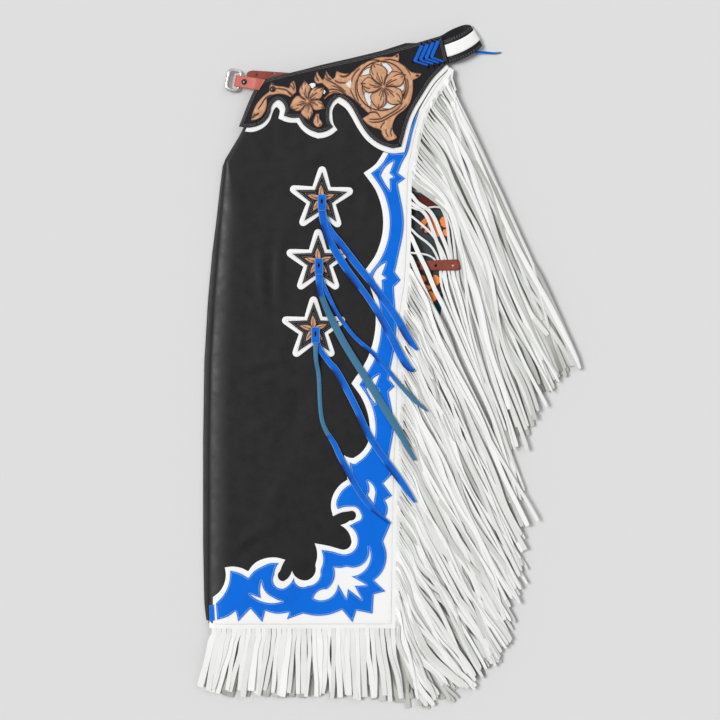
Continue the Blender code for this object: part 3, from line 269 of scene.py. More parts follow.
def cutSheet(loops, top, thick, step, edgeStep, rounding, relief=None):
    # a thin sheet over outlines: a fine net inside, its edge rounded over
    loops = [smoothLoop(loop, edgeStep) for loop in loops]
    rims = Rims(loops)
    places, fixed = [], []
    for loop in loops:
        start = len(places)
        places += [tuple(point) for point in loop]
        fixed += [(start + i, start + (i + 1) % len(loop)) for i in range(len(loop))]
    for number, loop in enumerate(loops):
        inward = 1.0 if number == 0 else -1.0
        for depth in (rounding * 0.35, rounding):
            for run in insetRuns(loop, depth * inward, rims):
                places += [tuple(point) for point in run]
    xs = [point[0] for point in loops[0]]
    ys = [point[1] for point in loops[0]]
    grid = []
    rowStep = step * sqrt(3) / 2
    for row in range(int((max(ys) - min(ys)) / rowStep) + 1):
        y = min(ys) + (row + 0.5) * rowStep
        shift = step / 2 if row % 2 else 0.0
        x = min(xs) + shift
        while x < max(xs):
            grid.append((x, y))
            x += step
    if grid:
        kept = insideOf(grid, loops)
        limit = rounding + step * 0.5
        places += [place for place, good in zip(grid, kept) if good and rims.far(*place) > limit]
    solved = delaunay_2d_cdt([Vector(place) for place in places], fixed, [], 0, 1e-6)
    spots, triangles = solved[0], [face for face in solved[2] if len(face) == 3]
    centres = [sum((spots[i] for i in face), Vector((0, 0))) / 3 for face in triangles]
    kept = insideOf([tuple(centre) for centre in centres], loops)
    triangles = [face for face, good in zip(triangles, kept) if good]
    used = sorted({i for face in triangles for i in face})
    number = {old: new for new, old in enumerate(used)}
    triangles = [tuple(number[i] for i in face) for face in triangles]
    uppers, lowers, rimLayer, stains = [], [], [], []
    for i in used:
        x, y = spots[i]
        far = rims.far(x, y)
        drop = 0.0
        if far < rounding:
            drop = rounding - sqrt(max(rounding**2 - (rounding - far) ** 2, 0.0))
        lift, stain = relief(x, y, far) if relief else (0.0, 0.0)
        level = top(x, y)
        uppers.append((x, y, level - drop + lift * min(far / reliefFade, 1.0)))
        lowers.append((x, y, level - thick))
        rimLayer.append(max(0.0, 1.0 - far / rimFade))
        stains.append(stain)
    count = len(used)
    faces = list(triangles)
    faces += [tuple(count + i for i in reversed(face)) for face in triangles]
    sides = {}
    for face in triangles:
        for a, b in ((face[0], face[1]), (face[1], face[2]), (face[2], face[0])):
            if (b, a) in sides:
                del sides[(b, a)]
            else:
                sides[(a, b)] = True
    faces += [(b, a, count + a, count + b) for a, b in sides]
    bundle = Bundle(uppers + lowers, faces, rim=rimLayer + [1.0] * count, stain=stains + [0.0] * count)
    bundle.loops = loops
    bundle.rims = rims
    return bundle


def layersTop(x):
    share = (x - stack["frontX"]) / (stack["backX"] - stack["frontX"])
    return stack["front"] + share * (stack["back"] - stack["front"])


def legTop(x, y=stack["lowY"]):
    # outer face of the near leg, over its rolled front fold
    fold, roll = legAt(y)[:2]
    flatX = fold + roll
    if x >= flatX:
        return layersTop(x) + panelTop
    lean = min((flatX - x) / roll, 1.0)
    height = layersTop(flatX) + panelTop - stack["foldFloor"]
    return stack["foldFloor"] + height * sqrt(1.0 - lean * lean)


def laidTop(level):
    high = levels[level][1] - panelTop
    return lambda x, y: legTop(x, min(y, 100)) + high


def lengthsAlong(line):
    reached = [0.0]
    for here, after in zip(line, line[1:]):
        reached.append(reached[-1] + (after - here).length)
    return reached


def stitchRow(bundle, run, top, pitch, length, radius):
    # saddle stitches along a stretch of points
    reached = lengthsAlong(run)
    if reached[-1] < length:
        return
    count = max(1, int(reached[-1] / pitch))
    lead = (reached[-1] - count * pitch + pitch - length) / 2
    segment = 0
    for number in range(count):
        ends = []
        for want in (lead + number * pitch, lead + number * pitch + length):
            want = min(max(want, 0.0), reached[-1])
            while segment < len(run) - 2 and reached[segment + 1] < want:
                segment += 1
            while segment > 0 and reached[segment] > want:
                segment -= 1
            share = (want - reached[segment]) / max(reached[segment + 1] - reached[segment], 1e-6)
            ends.append(run[segment].lerp(run[segment + 1], share))
        first, second = ends
        along = second - first
        if along.length < length * 0.5:
            continue
        across = Vector((-along.y, along.x)).normalized()
        points = []
        for share, up in ((0.0, -0.5), (0.22, 0.45), (0.78, 0.45), (1.0, -0.5)):
            middle = first.lerp(second, share)
            base = top(middle.x, middle.y) + up * radius
            wide = radius * (0.55 if share in (0.0, 1.0) else 1.0)
            for side, rise in ((-1, -0.5), (-0.55, 0.5), (0.55, 0.5), (1, -0.5)):
                place = middle + across * side * wide
                points.append((place.x, place.y, base + rise * radius))
        bundle.add(points, loftFaces(4, 4))


def ease(value, low, high):
    share = min(max((value - low) / (high - low), 0.0), 1.0)
    return share * share * (3 - 2 * share)


def loftFaces(rings, count):
    faces = [tuple(reversed(range(count))), tuple((rings - 1) * count + i for i in range(count))]
    for ring in range(rings - 1):
        for i in range(count):
            j = (i + 1) % count
            faces.append((ring * count + i, ring * count + j, (ring + 1) * count + j, (ring + 1) * count + i))
    return faces


def curveRows(points, spacing, axes=2, fewest=1):
    # a smooth line through points of any number of values, each with its place in their order
    rows = np.asarray(points, float)
    last = len(rows) - 1
    curve = []
    for i in range(last):
        before, here, after, beyond = (rows[min(max(i + k, 0), last)] for k in (-1, 0, 1, 2))
        steps = max(fewest, ceil(np.linalg.norm((after - here)[:axes]) / spacing))
        for step in range(steps):
            t = step / steps
            bend = (2 * before - 5 * here + 4 * after - beyond) * t**2
            twist = (3 * here - before - 3 * after + beyond) * t**3
            curve.append((i + t, 0.5 * (2 * here + (after - before) * t + bend + twist)))
    curve.append((last, rows[-1]))
    return curve


def curveThrough(points, spacing):
    return [row for _, row in curveRows(points, spacing)]


def flatCurve(points, spacing):
    return [Vector(row) for row in curveThrough([tuple(point[:2]) for point in points], spacing)]


def worn(x, y, much, scale, layer):
    # soft noise over the table: how much, how fine, and which layer of it
    return much * noise.noise(Vector((x * scale, y * scale, layer)))


def ovalPoints(x, y, halfWide, halfTall, count=14):
    turns = np.linspace(0, 2 * pi, count + 1)[:-1]
    return [(x + halfWide * cos(turn), y + halfTall * sin(turn)) for turn in turns]


def addPlug(bundle, oval, low, high):
    bundle.add([(x, y, z) for z in (low, high) for x, y in oval], loftFaces(2, len(oval)))


# Finishes: each is made from its own dictionary, its slot in the part among them.
def shade(colour):
    shares = [c / 255 for c in colour]
    return tuple(c / 12.92 if c <= 0.04045 else ((c + 0.055) / 1.055) ** 2.4 for c in shares) + (1.0,)


# What a finish has unless its own dictionary says otherwise; sizes and depths in mm.
plainLook = dict(
    broad=45.0, fleckSize=2.2, fleckShare=0.5, rimFrom=0.55, rimShare=0.8, glossSize=18.0,
    roughness=(0.45, 0.6), specular=0.5, sheen=0.0, coat=0.0, metal=0.0, grain=0.9,
    grainStrength=0.35, grainDepth=0.12, crumple=7.0, crumpleStrength=0.3, crumpleDepth=0.35,
)


def leatherFinish(name, plan):
    look = {**plainLook, **plan}
    look.update({key: shade(value) for key, value in look.items() if isinstance(value, tuple) and len(value) == 3})
    material = bpy.data.materials.new(name)
    material.use_nodes = True
    tree = material.node_tree
    tree.nodes.clear()
    link = tree.links.new

    def add(kind, **settings):
        fresh = tree.nodes.new("ShaderNode" + kind)
        for key, value in settings.items():
            setattr(fresh, key, value)
        return fresh

    def mix(amount, first, second):
        blend = add("Mix", data_type="RGBA")
        for number, value in ((0, amount), (6, first), (7, second)):
            socket = blend.inputs[number]
            if isinstance(value, bpy.types.NodeSocket):
                link(value, socket)
            else:
                socket.default_value = value
        return blend.outputs[2]

    def ramp(value, low, high, first=0.0, second=1.0):
        scale = add("MapRange", clamp=True)
        link(value, scale.inputs[0])
        for i, number in enumerate((low, high, first, second)):
            scale.inputs[i + 1].default_value = number
        return scale.outputs[0]

    def mottle(size, detail=4.0, rough=0.6):
        cloud = add("TexNoise")
        link(place, cloud.inputs["Vector"])
        for socket, value in (("Scale", 1.0 / (size * mm)), ("Detail", detail), ("Roughness", rough)):
            cloud.inputs[socket].default_value = value
        return cloud.outputs[0]

    def layer(attribute, low, high, share=1.0):
        return ramp(add("Attribute", attribute_name=attribute).outputs["Fac"], low, high, 0.0, share)

    def bump(height, strength, depth, below=None):
        raised = add("Bump")
        raised.inputs["Strength"].default_value = strength
        raised.inputs["Distance"].default_value = depth * mm
        link(height, raised.inputs["Height"])
        if below:
            link(below, raised.inputs["Normal"])
        return raised.outputs[0]

    place = add("TexCoord").outputs["Object"]
    shader = add("BsdfPrincipled")
    link(shader.outputs[0], add("OutputMaterial").inputs[0])

    broad = mottle(look["broad"], 3.0)
    colour = mix(ramp(broad, 0.3, 0.7), look["colour"], look["second"])
    fine = mottle(look["fleckSize"], 5.0)
    if "fleck" in look:
        colour = mix(ramp(fine, 0.5, 0.72, 0.0, look["fleckShare"]), colour, look["fleck"])
    if "rimColour" in look:
        colour = mix(layer("rim", look["rimFrom"], 1.0, look["rimShare"]), colour, look["rimColour"])
    if "stainColour" in look:
        stain = add("Attribute", attribute_name="stain").outputs["Fac"]
        colour = mix(ramp(stain, 0.05, 0.6), colour, look["stainMiddle"])
        colour = mix(ramp(stain, 0.45, 1.0), colour, look["stainColour"])
    if "paintColour" in look:
        colour = mix(layer("paint", 0.4, 0.6), colour, look["paintColour"])
    link(colour, shader.inputs["Base Color"])

    link(ramp(mottle(look["glossSize"], 4.0), 0.3, 0.7, *look["roughness"]), shader.inputs["Roughness"])
    shader.inputs["Specular IOR Level"].default_value = look["specular"]
    shader.inputs["Sheen Weight"].default_value = look["sheen"]
    shader.inputs["Sheen Roughness"].default_value = 0.4
    shader.inputs["Coat Weight"].default_value = look["coat"]
    shader.inputs["Coat Roughness"].default_value = 0.25
    shader.inputs["Metallic"].default_value = look["metal"]

    pebble = add("TexVoronoi", feature="SMOOTH_F1")
    link(place, pebble.inputs["Vector"])
    pebble.inputs["Scale"].default_value = 1.0 / (look["grain"] * mm)
    pebble.inputs["Smoothness"].default_value = 0.6
    grained = bump(pebble.outputs["Distance"], look["grainStrength"], look["grainDepth"])
    crumpled = bump(mottle(look["crumple"], 6.0, 0.65), look["crumpleStrength"], look["crumpleDepth"], grained)
    link(crumpled, shader.inputs["Normal"])
    return material


finishPlans = dict(
    black=dict(
        title="black smooth leather", slot="black_leather", colour=(27, 26, 28), second=(21, 20, 22),
        fleck=(44, 43, 45), fleckShare=0.25, rimColour=(96, 92, 90), rimFrom=0.75, rimShare=0.6,
        roughness=(0.38, 0.52), specular=0.34, grain=0.8, crumple=9.0, crumpleStrength=0.25,
    ),
    yokeBlack=dict(
        title="black yoke leather", slot="black_leather", colour=(24, 22, 28), second=(18, 17, 23),
        fleck=(42, 40, 46), fleckShare=0.3, rimColour=(112, 108, 108), rimFrom=0.7, rimShare=0.7,
        roughness=(0.4, 0.58), specular=0.26, grain=1.1, grainStrength=0.4,
    ),
    white=dict(
        title="white border leather", slot="white_leather", colour=(252, 252, 251),
        second=(249, 249, 247), fleck=(243, 243, 240), fleckShare=0.2, rimColour=(216, 216, 212),
        rimFrom=0.8, rimShare=0.4, roughness=(0.48, 0.62), specular=0.25, crumpleStrength=0.2,
    ),
    blue=dict(
        title="blue flame leather", slot="blue_leather", colour=(0, 112, 228), second=(0, 104, 218),
        fleck=(10, 124, 236), fleckShare=0.3, rimColour=(96, 162, 230), rimFrom=0.72, rimShare=0.75,
        roughness=(0.5, 0.62), specular=0.12,
    ),
    tooled=dict(
        title="tooled russet leather", slot="tooled_leather", colour=(228, 178, 136),
        second=(196, 140, 100), fleck=(240, 198, 164), fleckShare=0.55, stainMiddle=(142, 90, 62),
        stainColour=(28, 13, 9), paintColour=(232, 234, 236), broad=9.0, roughness=(0.38, 0.5),
        grain=0.6, grainStrength=0.25, crumple=3.5, crumpleDepth=0.2,
    ),
    # blue thong; its dark stain colours carry painted shade on one side of each tie, round each knot's slit and along
    # the lacing's edges, and the lacing's uneven colour
    tie=dict(
        title="blue thong leather", slot="blue_leather", colour=(0, 110, 220), second=(0, 92, 200),
        fleck=(24, 134, 234), fleckShare=0.4, specular=0.2, rimColour=(140, 184, 222), rimFrom=0.4,
        stainMiddle=(0, 74, 168), stainColour=(0, 44, 118), paintColour=(66, 118, 152),
        roughness=(0.36, 0.55), broad=22.0, grain=0.7,
    ),
    nearStrap=dict(
        title="russet strap leather", slot="strap_leather", colour=(202, 96, 84), second=(182, 84, 66),
        fleck=(220, 118, 98), rimColour=(226, 178, 158), rimFrom=0.6, roughness=(0.4, 0.55),
        broad=14.0, grainStrength=0.5,
    ),
    farStrap=dict(
        title="dark russet strap leather", slot="strap_leather", colour=(150, 62, 46),
        second=(132, 50, 38), fleck=(170, 82, 64), fleckShare=0.4, rimColour=(104, 44, 34),
        broad=20.0, grainStrength=0.5,
    ),
    thighStrap=dict(
        title="dark oxblood leather", slot="strap_leather", colour=(104, 40, 28), second=(84, 28, 20),
        fleck=(124, 56, 40), fleckShare=0.3, rimColour=(60, 22, 16), roughness=(0.5, 0.65),
        specular=0.25,
    ),
    legStrap=dict(
        title="oxblood strap leather", slot="strap_leather", colour=(144, 62, 46), second=(126, 50, 36),
        fleck=(164, 84, 62), fleckShare=0.4, rimColour=(86, 36, 30),
    ),
    suede=dict(
        title="slate suede", slot="suede", colour=(72, 82, 86), second=(60, 70, 74),
        stainMiddle=(16, 70, 88), stainColour=(0, 66, 86), fleck=(92, 102, 104), fleckSize=1.1,
        roughness=(0.85, 0.95), specular=0.1, sheen=0.35, grain=0.35, grainStrength=0.7,
        crumple=1.2,
    ),
    keeper=dict(
        title="painted keeper leather", slot="black_leather", colour=(34, 30, 30), second=(26, 24, 25),
        stainMiddle=(240, 124, 48), stainColour=(252, 142, 62), grain=0.8,
    ),
    # white fringe; its grey stains are partly strands that show their greyer flesh side and partly painted shade, and
    # its grey edges are the cut edges with painted shade between strands
    fringe=dict(
        title="white fringe leather", slot="white_leather", colour=(249, 249, 248),
        second=(244, 244, 242), fleck=(232, 232, 228), fleckShare=0.2, rimColour=(176, 177, 172),
        rimFrom=0.5, rimShare=0.5, stainMiddle=(220, 221, 217), stainColour=(180, 181, 175),
        roughness=(0.55, 0.7), specular=0.3, grain=0.7, broad=60.0,
    ),
    # painted shade: the lower layers are a greyer white, going near-black at their roots where the slits lie in shade
    fringeShaded=dict(
        title="fringe in its own shade", slot="white_leather", colour=(230, 231, 228),
        second=(216, 217, 213), fleck=(200, 201, 196), fleckShare=0.3, rimColour=(160, 161, 154),
        rimFrom=0.5, rimShare=0.5, stainMiddle=(184, 185, 177), stainColour=(36, 35, 35),
        roughness=(0.7, 0.9), specular=0.2, sheen=0.1, grain=0.5,
    ),
    greyThread=dict(
        title="grey thread", slot="black_leather", colour=(150, 147, 146), second=(122, 118, 120),
        roughness=(0.5, 0.65), broad=6.0, grain=0.3,
    ),
    blueThread=dict(
        title="pale blue thread", slot="blue_leather", colour=(176, 206, 240), second=(140, 184, 232),
        roughness=(0.5, 0.65), grain=0.3,
    ),
    whiteThread=dict(
        title="white thread", slot="white_leather", colour=(226, 225, 222), second=(206, 205, 202),
        roughness=(0.5, 0.65), grain=0.3,
    ),
    # near-black plugs in the lacing holes and knot slits: painted shade standing for the dark inside them
    hole=dict(
        title="punched hole", slot="black_leather", colour=(12, 11, 14), second=(8, 8, 10),
        roughness=(0.8, 0.95), specular=0.1, grain=0.5,
    ),
    # polished nickel; its rim colour is the painted dark reflection along the ring's sides
    silver=dict(
        title="polished nickel", slot="chrome", colour=(244, 243, 240), second=(236, 234, 230),
        fleck=(214, 210, 204), fleckShare=0.3, rimColour=(74, 58, 50), rimFrom=0.1, rimShare=0.92,
        metal=0.6, coat=0.5, roughness=(0.14, 0.26), grain=1.4, grainStrength=0.08,
        crumpleStrength=0.08,
    ),
    blackMetal=dict(
        title="black enamelled rivet", slot="rivet_metal", colour=(30, 30, 30), second=(20, 20, 21),
        fleck=(52, 50, 46), fleckShare=0.3, roughness=(0.16, 0.3), coat=0.6, grain=1.2,
        grainStrength=0.08, crumpleStrength=0.1,
    ),
)
finishes = {key: leatherFinish(plan["title"], plan) for key, plan in finishPlans.items()}
print("finishes ready")

# The camera, floor and light stay still while the part moves.
cameraPlan = dict(
    x=-49.5, y=4.1, height=3200.0, frameWide=1188.0, level=10.0, sensor=36.0, farthest=20.0,
)
floorPlan = dict(half=4000.0, colour=(0.765, 0.765, 0.765, 1.0), roughness=0.95, specular=0.1)
suns = dict(
    # name: (towards x, y, z; strength; softness in degrees)
    keySun=(-1.0, 0.22, 1.4, 2.08, 26.0),
    fillSun=(0.75, 0.9, 1.3, 0.55, 50.0),
)
worldPlan = dict(zenith=0.14, horizon=0.62)


def makeStudio():
    camera = newObject("camera", bpy.data.cameras.new("camera"))
    camera.location = (cameraPlan["x"] * mm + shiftX, cameraPlan["y"] * mm + shiftY, cameraPlan["height"] * mm)
    camera.data.sensor_width = cameraPlan["sensor"]
    above = cameraPlan["height"] - cameraPlan["level"]
    camera.data.lens = cameraPlan["sensor"] * above / cameraPlan["frameWide"]
    camera.data.clip_end = cameraPlan["farthest"]
    bpy.context.scene.camera = camera
    bpy.context.scene.view_settings.view_transform = "Standard"

    half = floorPlan["half"] * mm
    mesh = bpy.data.meshes.new("floor")
    mesh.from_pydata([(-half, -half, 0), (half, -half, 0), (half, half, 0), (-half, half, 0)], [], [(0, 1, 2, 3)])
    floor = newObject("floor", mesh)
    paper = bpy.data.materials.new("studio paper")
    paper.use_nodes = True
    shader = paper.node_tree.nodes["Principled BSDF"]
    shader.inputs["Base Color"].default_value = floorPlan["colour"]
    shader.inputs["Roughness"].default_value = floorPlan["roughness"]
    shader.inputs["Specular IOR Level"].default_value = floorPlan["specular"]
    mesh.materials.append(paper)

    for name, (x, y, z, strength, soft) in suns.items():
        lamp = bpy.data.lights.new(name, "SUN")
        lamp.energy = strength
        lamp.angle = radians(soft)
        light = newObject(name, lamp)
        light.location = Vector((x, y, z)).normalized() * 2.0
        light.rotation_euler = Vector((-x, -y, -z)).to_track_quat("-Z", "Y").to_euler()

    world = bpy.data.worlds.new("studio")
    bpy.context.scene.world = world
    world.use_nodes = True
    tree = world.node_tree
    place = tree.nodes.new("ShaderNodeTexCoord")
    split = tree.nodes.new("ShaderNodeSeparateXYZ")
    ramp = tree.nodes.new("ShaderNodeMapRange")
    ramp.inputs[3].default_value = worldPlan["horizon"]
    ramp.inputs[4].default_value = worldPlan["zenith"]
    back = tree.nodes["Background"]
    tree.links.new(place.outputs["Generated"], split.inputs[0])
    tree.links.new(split.outputs[2], ramp.inputs[0])
    tree.links.new(ramp.outputs[0], back.inputs["Strength"])
    back.inputs["Color"].default_value = (1.0, 1.0, 1.0, 1.0)


makeStudio()
print("studio ready")


# The near leg and the layers under it: at each height the front fold, its roll, the back edge and how far the
# far leg shows.
LegRow = namedtuple("LegRow", "y fold roll back farOut")
legRows = [LegRow(*row) for row in (
    (-430, -300, 36, 0, 3), (-400, -300, 36, 0, 7), (-300, -300, 36, 1, 9), (-128, -300, 36, 6, 9),
    (0, -298, 36, 10, 9), (103, -292, 34, 18, 9), (180, -286, 30, 24, 8), (235, -282, 26, 25, 5),
    (290, -278, 18, 26, 3), (330, -274, 8, 29, 2), (380, -244, 3.5, 39, 2), (410, -231, 3.5, 44, 2),
    (434, -221, 3.5, 54, 2), (452, -213, 3.5, 67, 2), (466, -201, 3.5, 68, 2), (478, -153, 3.5, 68, 14),
    (491, -96, 3.5, 68, 23), (505, -34, 3.5, 66, 23), (517, 15, 3.5, 66, 23), (528, 48, 3.5, 66, 23),
)]


def legAt(y):
    # fold, roll, back edge and the far leg's reach at a height
    y = min(max(y, legRows[0].y), legRows[-1].y)
    for low, high in zip(legRows, legRows[1:]):
        if y <= high.y:
            break
    share = (y - low.y) / (high.y - low.y)
    return [low[i] + (high[i] - low[i]) * share for i in (1, 2, 3, 4)]


# Soft troughs and ridges where the leg was folded and carried: middle, half length, half width, height, turn.
Crease = namedtuple("Crease", "x y length width height turn")
legCreases = [Crease(*row) for row in (
    (-211, 144, 62, 9, 0.8, 94), (-197, 132, 74, 7, -0.5, 90), (-183, 160, 52, 8, 0.7, 86),
    (-206, 2, 46, 11, 0.8, 8), (-214, -18, 34, 8, -0.5, 14), (-236, -306, 44, 8, -0.7, 38),
    (-226, -288, 40, 10, 0.7, 33), (-74, 372, 26, 8, 0.5, -62), (-40, 262, 34, 9, 0.6, 72),
    (-226, -112, 30, 7, 0.5, 28), (-190, -226, 50, 14, 0.6, 70), (-150, -70, 40, 13, -0.4, 60),
    (-247, 240, 60, 12, 0.5, 96), (-110, 345, 40, 14, 0.5, 10),
)]


def creaseLift(x, y):
    lift = 0.0
    for crease in legCreases:
        turn = radians(crease.turn)
        dx, dy = x - crease.x, y - crease.y
        along = (dx * cos(turn) + dy * sin(turn)) / crease.length
        bend = along * along * crease.width * 0.5
        across = (-dx * sin(turn) + dy * cos(turn) + bend) / crease.width
        if abs(along) < 2.2 and abs(across) < 2.6:
            lift += crease.height * exp(-along * along * 1.3 - across * across)
    return lift + 0.35 * noise.noise(Vector((x * 0.011, y * 0.008, 3.0)))


legPlan = dict(rowStep=7.0, flatSteps=46, rollSteps=14, leather=2.2, calmBeside=14.0)
legCovers = ("border_white", "yoke_underlay", "star_white_1", "star_white_2", "star_white_3")


def legRings(y):
    # the near leg's outer and inner face across one height, from the back to the front fold
    fold, roll, back = legAt(y)[:3]
    flatX = fold + roll
    line = [back + (flatX - back) * i / legPlan["flatSteps"] for i in range(legPlan["flatSteps"])]
    outer = [(x, y, layersTop(x) + panelTop) for x in line]
    inner = [(x, y, layersTop(x) + 0.3) for x in line]
    height = layersTop(flatX) + panelTop - stack["foldFloor"]
    for i in range(legPlan["rollSteps"] + 1):
        angle = pi / 2 * i / legPlan["rollSteps"]
        for face, depth in ((outer, 0.0), (inner, legPlan["leather"])):
            reach, rise = (roll - depth) * sin(angle), (height - depth) * cos(angle)
            face.append((flatX - reach, y, stack["foldFloor"] + rise))
    return outer, inner


def makeLeg():
    ys = sorted(set(list(np.arange(stack["lowY"], 528, legPlan["rowStep"])) + [row.y for row in legRows]))
    covers = [cadLoops(node)[:1] for node in legCovers]
    shown = [Rims([smoothLoop(loop, 4.0) for loop in loops]) for loops in covers]
    outer, inner = zip(*(legRings(y) for y in ys))
    places = [(point[0], point[1]) for row in outer for point in row]
    covered = np.zeros(len(places), bool)
    for loops in covers:
        covered |= insideOf(places, loops)
    points = []
    count = len(outer[0])
    for hidden, (x, y, z) in zip(covered, [point for row in outer for point in row]):
        free = 0.0 if hidden else min(1.0, min(cover.far(x, y) for cover in shown) / legPlan["calmBeside"])
        points.append((x, y, z + creaseLift(x, y) * free))
    start = len(points)
    points += [point for row in inner for point in row]
    rim = [1.0 if i % count == count - 1 else 0.0 for i in range(len(points))]
    faces = []
    for r in range(len(outer) - 1):
        for c in range(count - 1):
            a, b = r * count + c, (r + 1) * count + c
            faces.append((a, a + 1, b + 1, b))
            faces.append((start + a, start + b, start + b + 1, start + a + 1))
        for c in (0, count - 1):
            a, b = r * count + c, (r + 1) * count + c
            faces.append((a, b, start + b, start + a))
    for r in (0, len(outer) - 1):
        for c in range(count - 1):
            a = r * count + c
            faces.append((a, a + 1, start + a + 1, start + a))
    makePiece("nearLeg", Bundle(points, faces, rim=rim), "black", replaces=["leg_panel"])


# The far leg and the linings, one body in section: distance behind its rounded front edge, and height.
layersPlan = dict(rowStep=12.0, backIn=1.5, rollSteps=9, leather=2.5)
layersFront = ((3.4, 5.0), (1.9, 4.6), (0.8, 4.0), (0.15, 3.2), (0.0, 2.4), (0.25, 1.5), (0.9, 0.7), (2.0, 0.15))
layersBack = ((0.0, 0.0), (0.0, 2.4), (-2.0, 2.6), (-2.0, 3.1), (-0.5, 3.3))


def makeLayers():
    sections = []
    for y in [-426.0] + list(np.arange(-420, 528, layersPlan["rowStep"])) + [528.0]:
        fold, roll, back, farOut = legAt(y)
        front, flatX, back = fold - farOut, fold + roll, back - layersPlan["backIn"]
        height = layersTop(flatX) - stack["foldFloor"]
        section = [(front + 3.5, 0.0)] + [(back + x, z) for x, z in layersBack]
        section.append((back - 0.5, layersTop(back - 0.5)))
        for i in range(layersPlan["rollSteps"]):
            angle = pi / 2 * i / layersPlan["rollSteps"]
            reach = (roll - layersPlan["leather"]) * sin(angle)
            section.append((flatX - reach, stack["foldFloor"] + height * cos(angle)))
        section += [(fold + 2.6, 5.0)] + [(front + x, z) for x, z in layersFront]
        sections.append([(x, y, z) for x, z in section])
    bundle = Bundle([point for section in sections for point in section], loftFaces(len(sections), len(sections[0])))
    makePiece("innerLayers", bundle, "black", replaces=["hidden_layers"])


makeLayers()
makeLeg()
print("leg ready")


def flatPiece(name, node, finish, level, step=4.0, edgeStep=2.2, rounding=0.4, relief=None):
    low, high = levels[level]
    bundle = cutSheet(cadLoops(node), laidTop(level), high - low, step, edgeStep, rounding, relief)
    makePiece(name, bundle, finish, replaces=[node])
    return bundle


def stitchAround(name, bundle, plan, skip=()):
    # rows of stitches at given depths in from a sheet's edge, left out where other pieces cover them
    threads = Bundle()
    top = laidTop(plan["level"])
    for number, loop in enumerate(bundle.loops):
        fine = smoothLoop(loop, 1.2)
        for depth in plan["depths"]:
            for run in insetRuns(fine, depth if number == 0 else -depth, bundle.rims):
                for part in stretches(run, ~insideOf([tuple(point) for point in run], skip)):
                    stitchRow(threads, part, top, plan["pitch"], plan["length"], plan["radius"])
    makePiece(name, threads, plan["finish"])


# The flame border: a white sheet, a blue one with spikes over it, and a row of stitches.
borderSewing = dict(depths=(2.1,), level="over", finish="blueThread", pitch=3.3, length=2.8, radius=0.42)
whiteShape = flatPiece("whiteFlame", "border_white", "white", "under", step=7.0, edgeStep=2.6)
blueShape = flatPiece("blueFlame", "border_blue", "blue", "over", step=6.0, edgeStep=2.2)
flatPiece("blueFlameEnd", "border_end", "blue", "over", step=4.0, edgeStep=2.0)
stitchAround("blueFlameStitches", blueShape, borderSewing)
print("border ready")


# The yoke with its tooled vine, leaves and flowers.
yokeSewing = dict(depths=(2.3, 4.6), level="yoke", finish="greyThread", pitch=3.5, length=3.3, radius=0.26)
yokeRivet = dict(x=-193.0, y=449.5, radius=3.6, height=1.6)
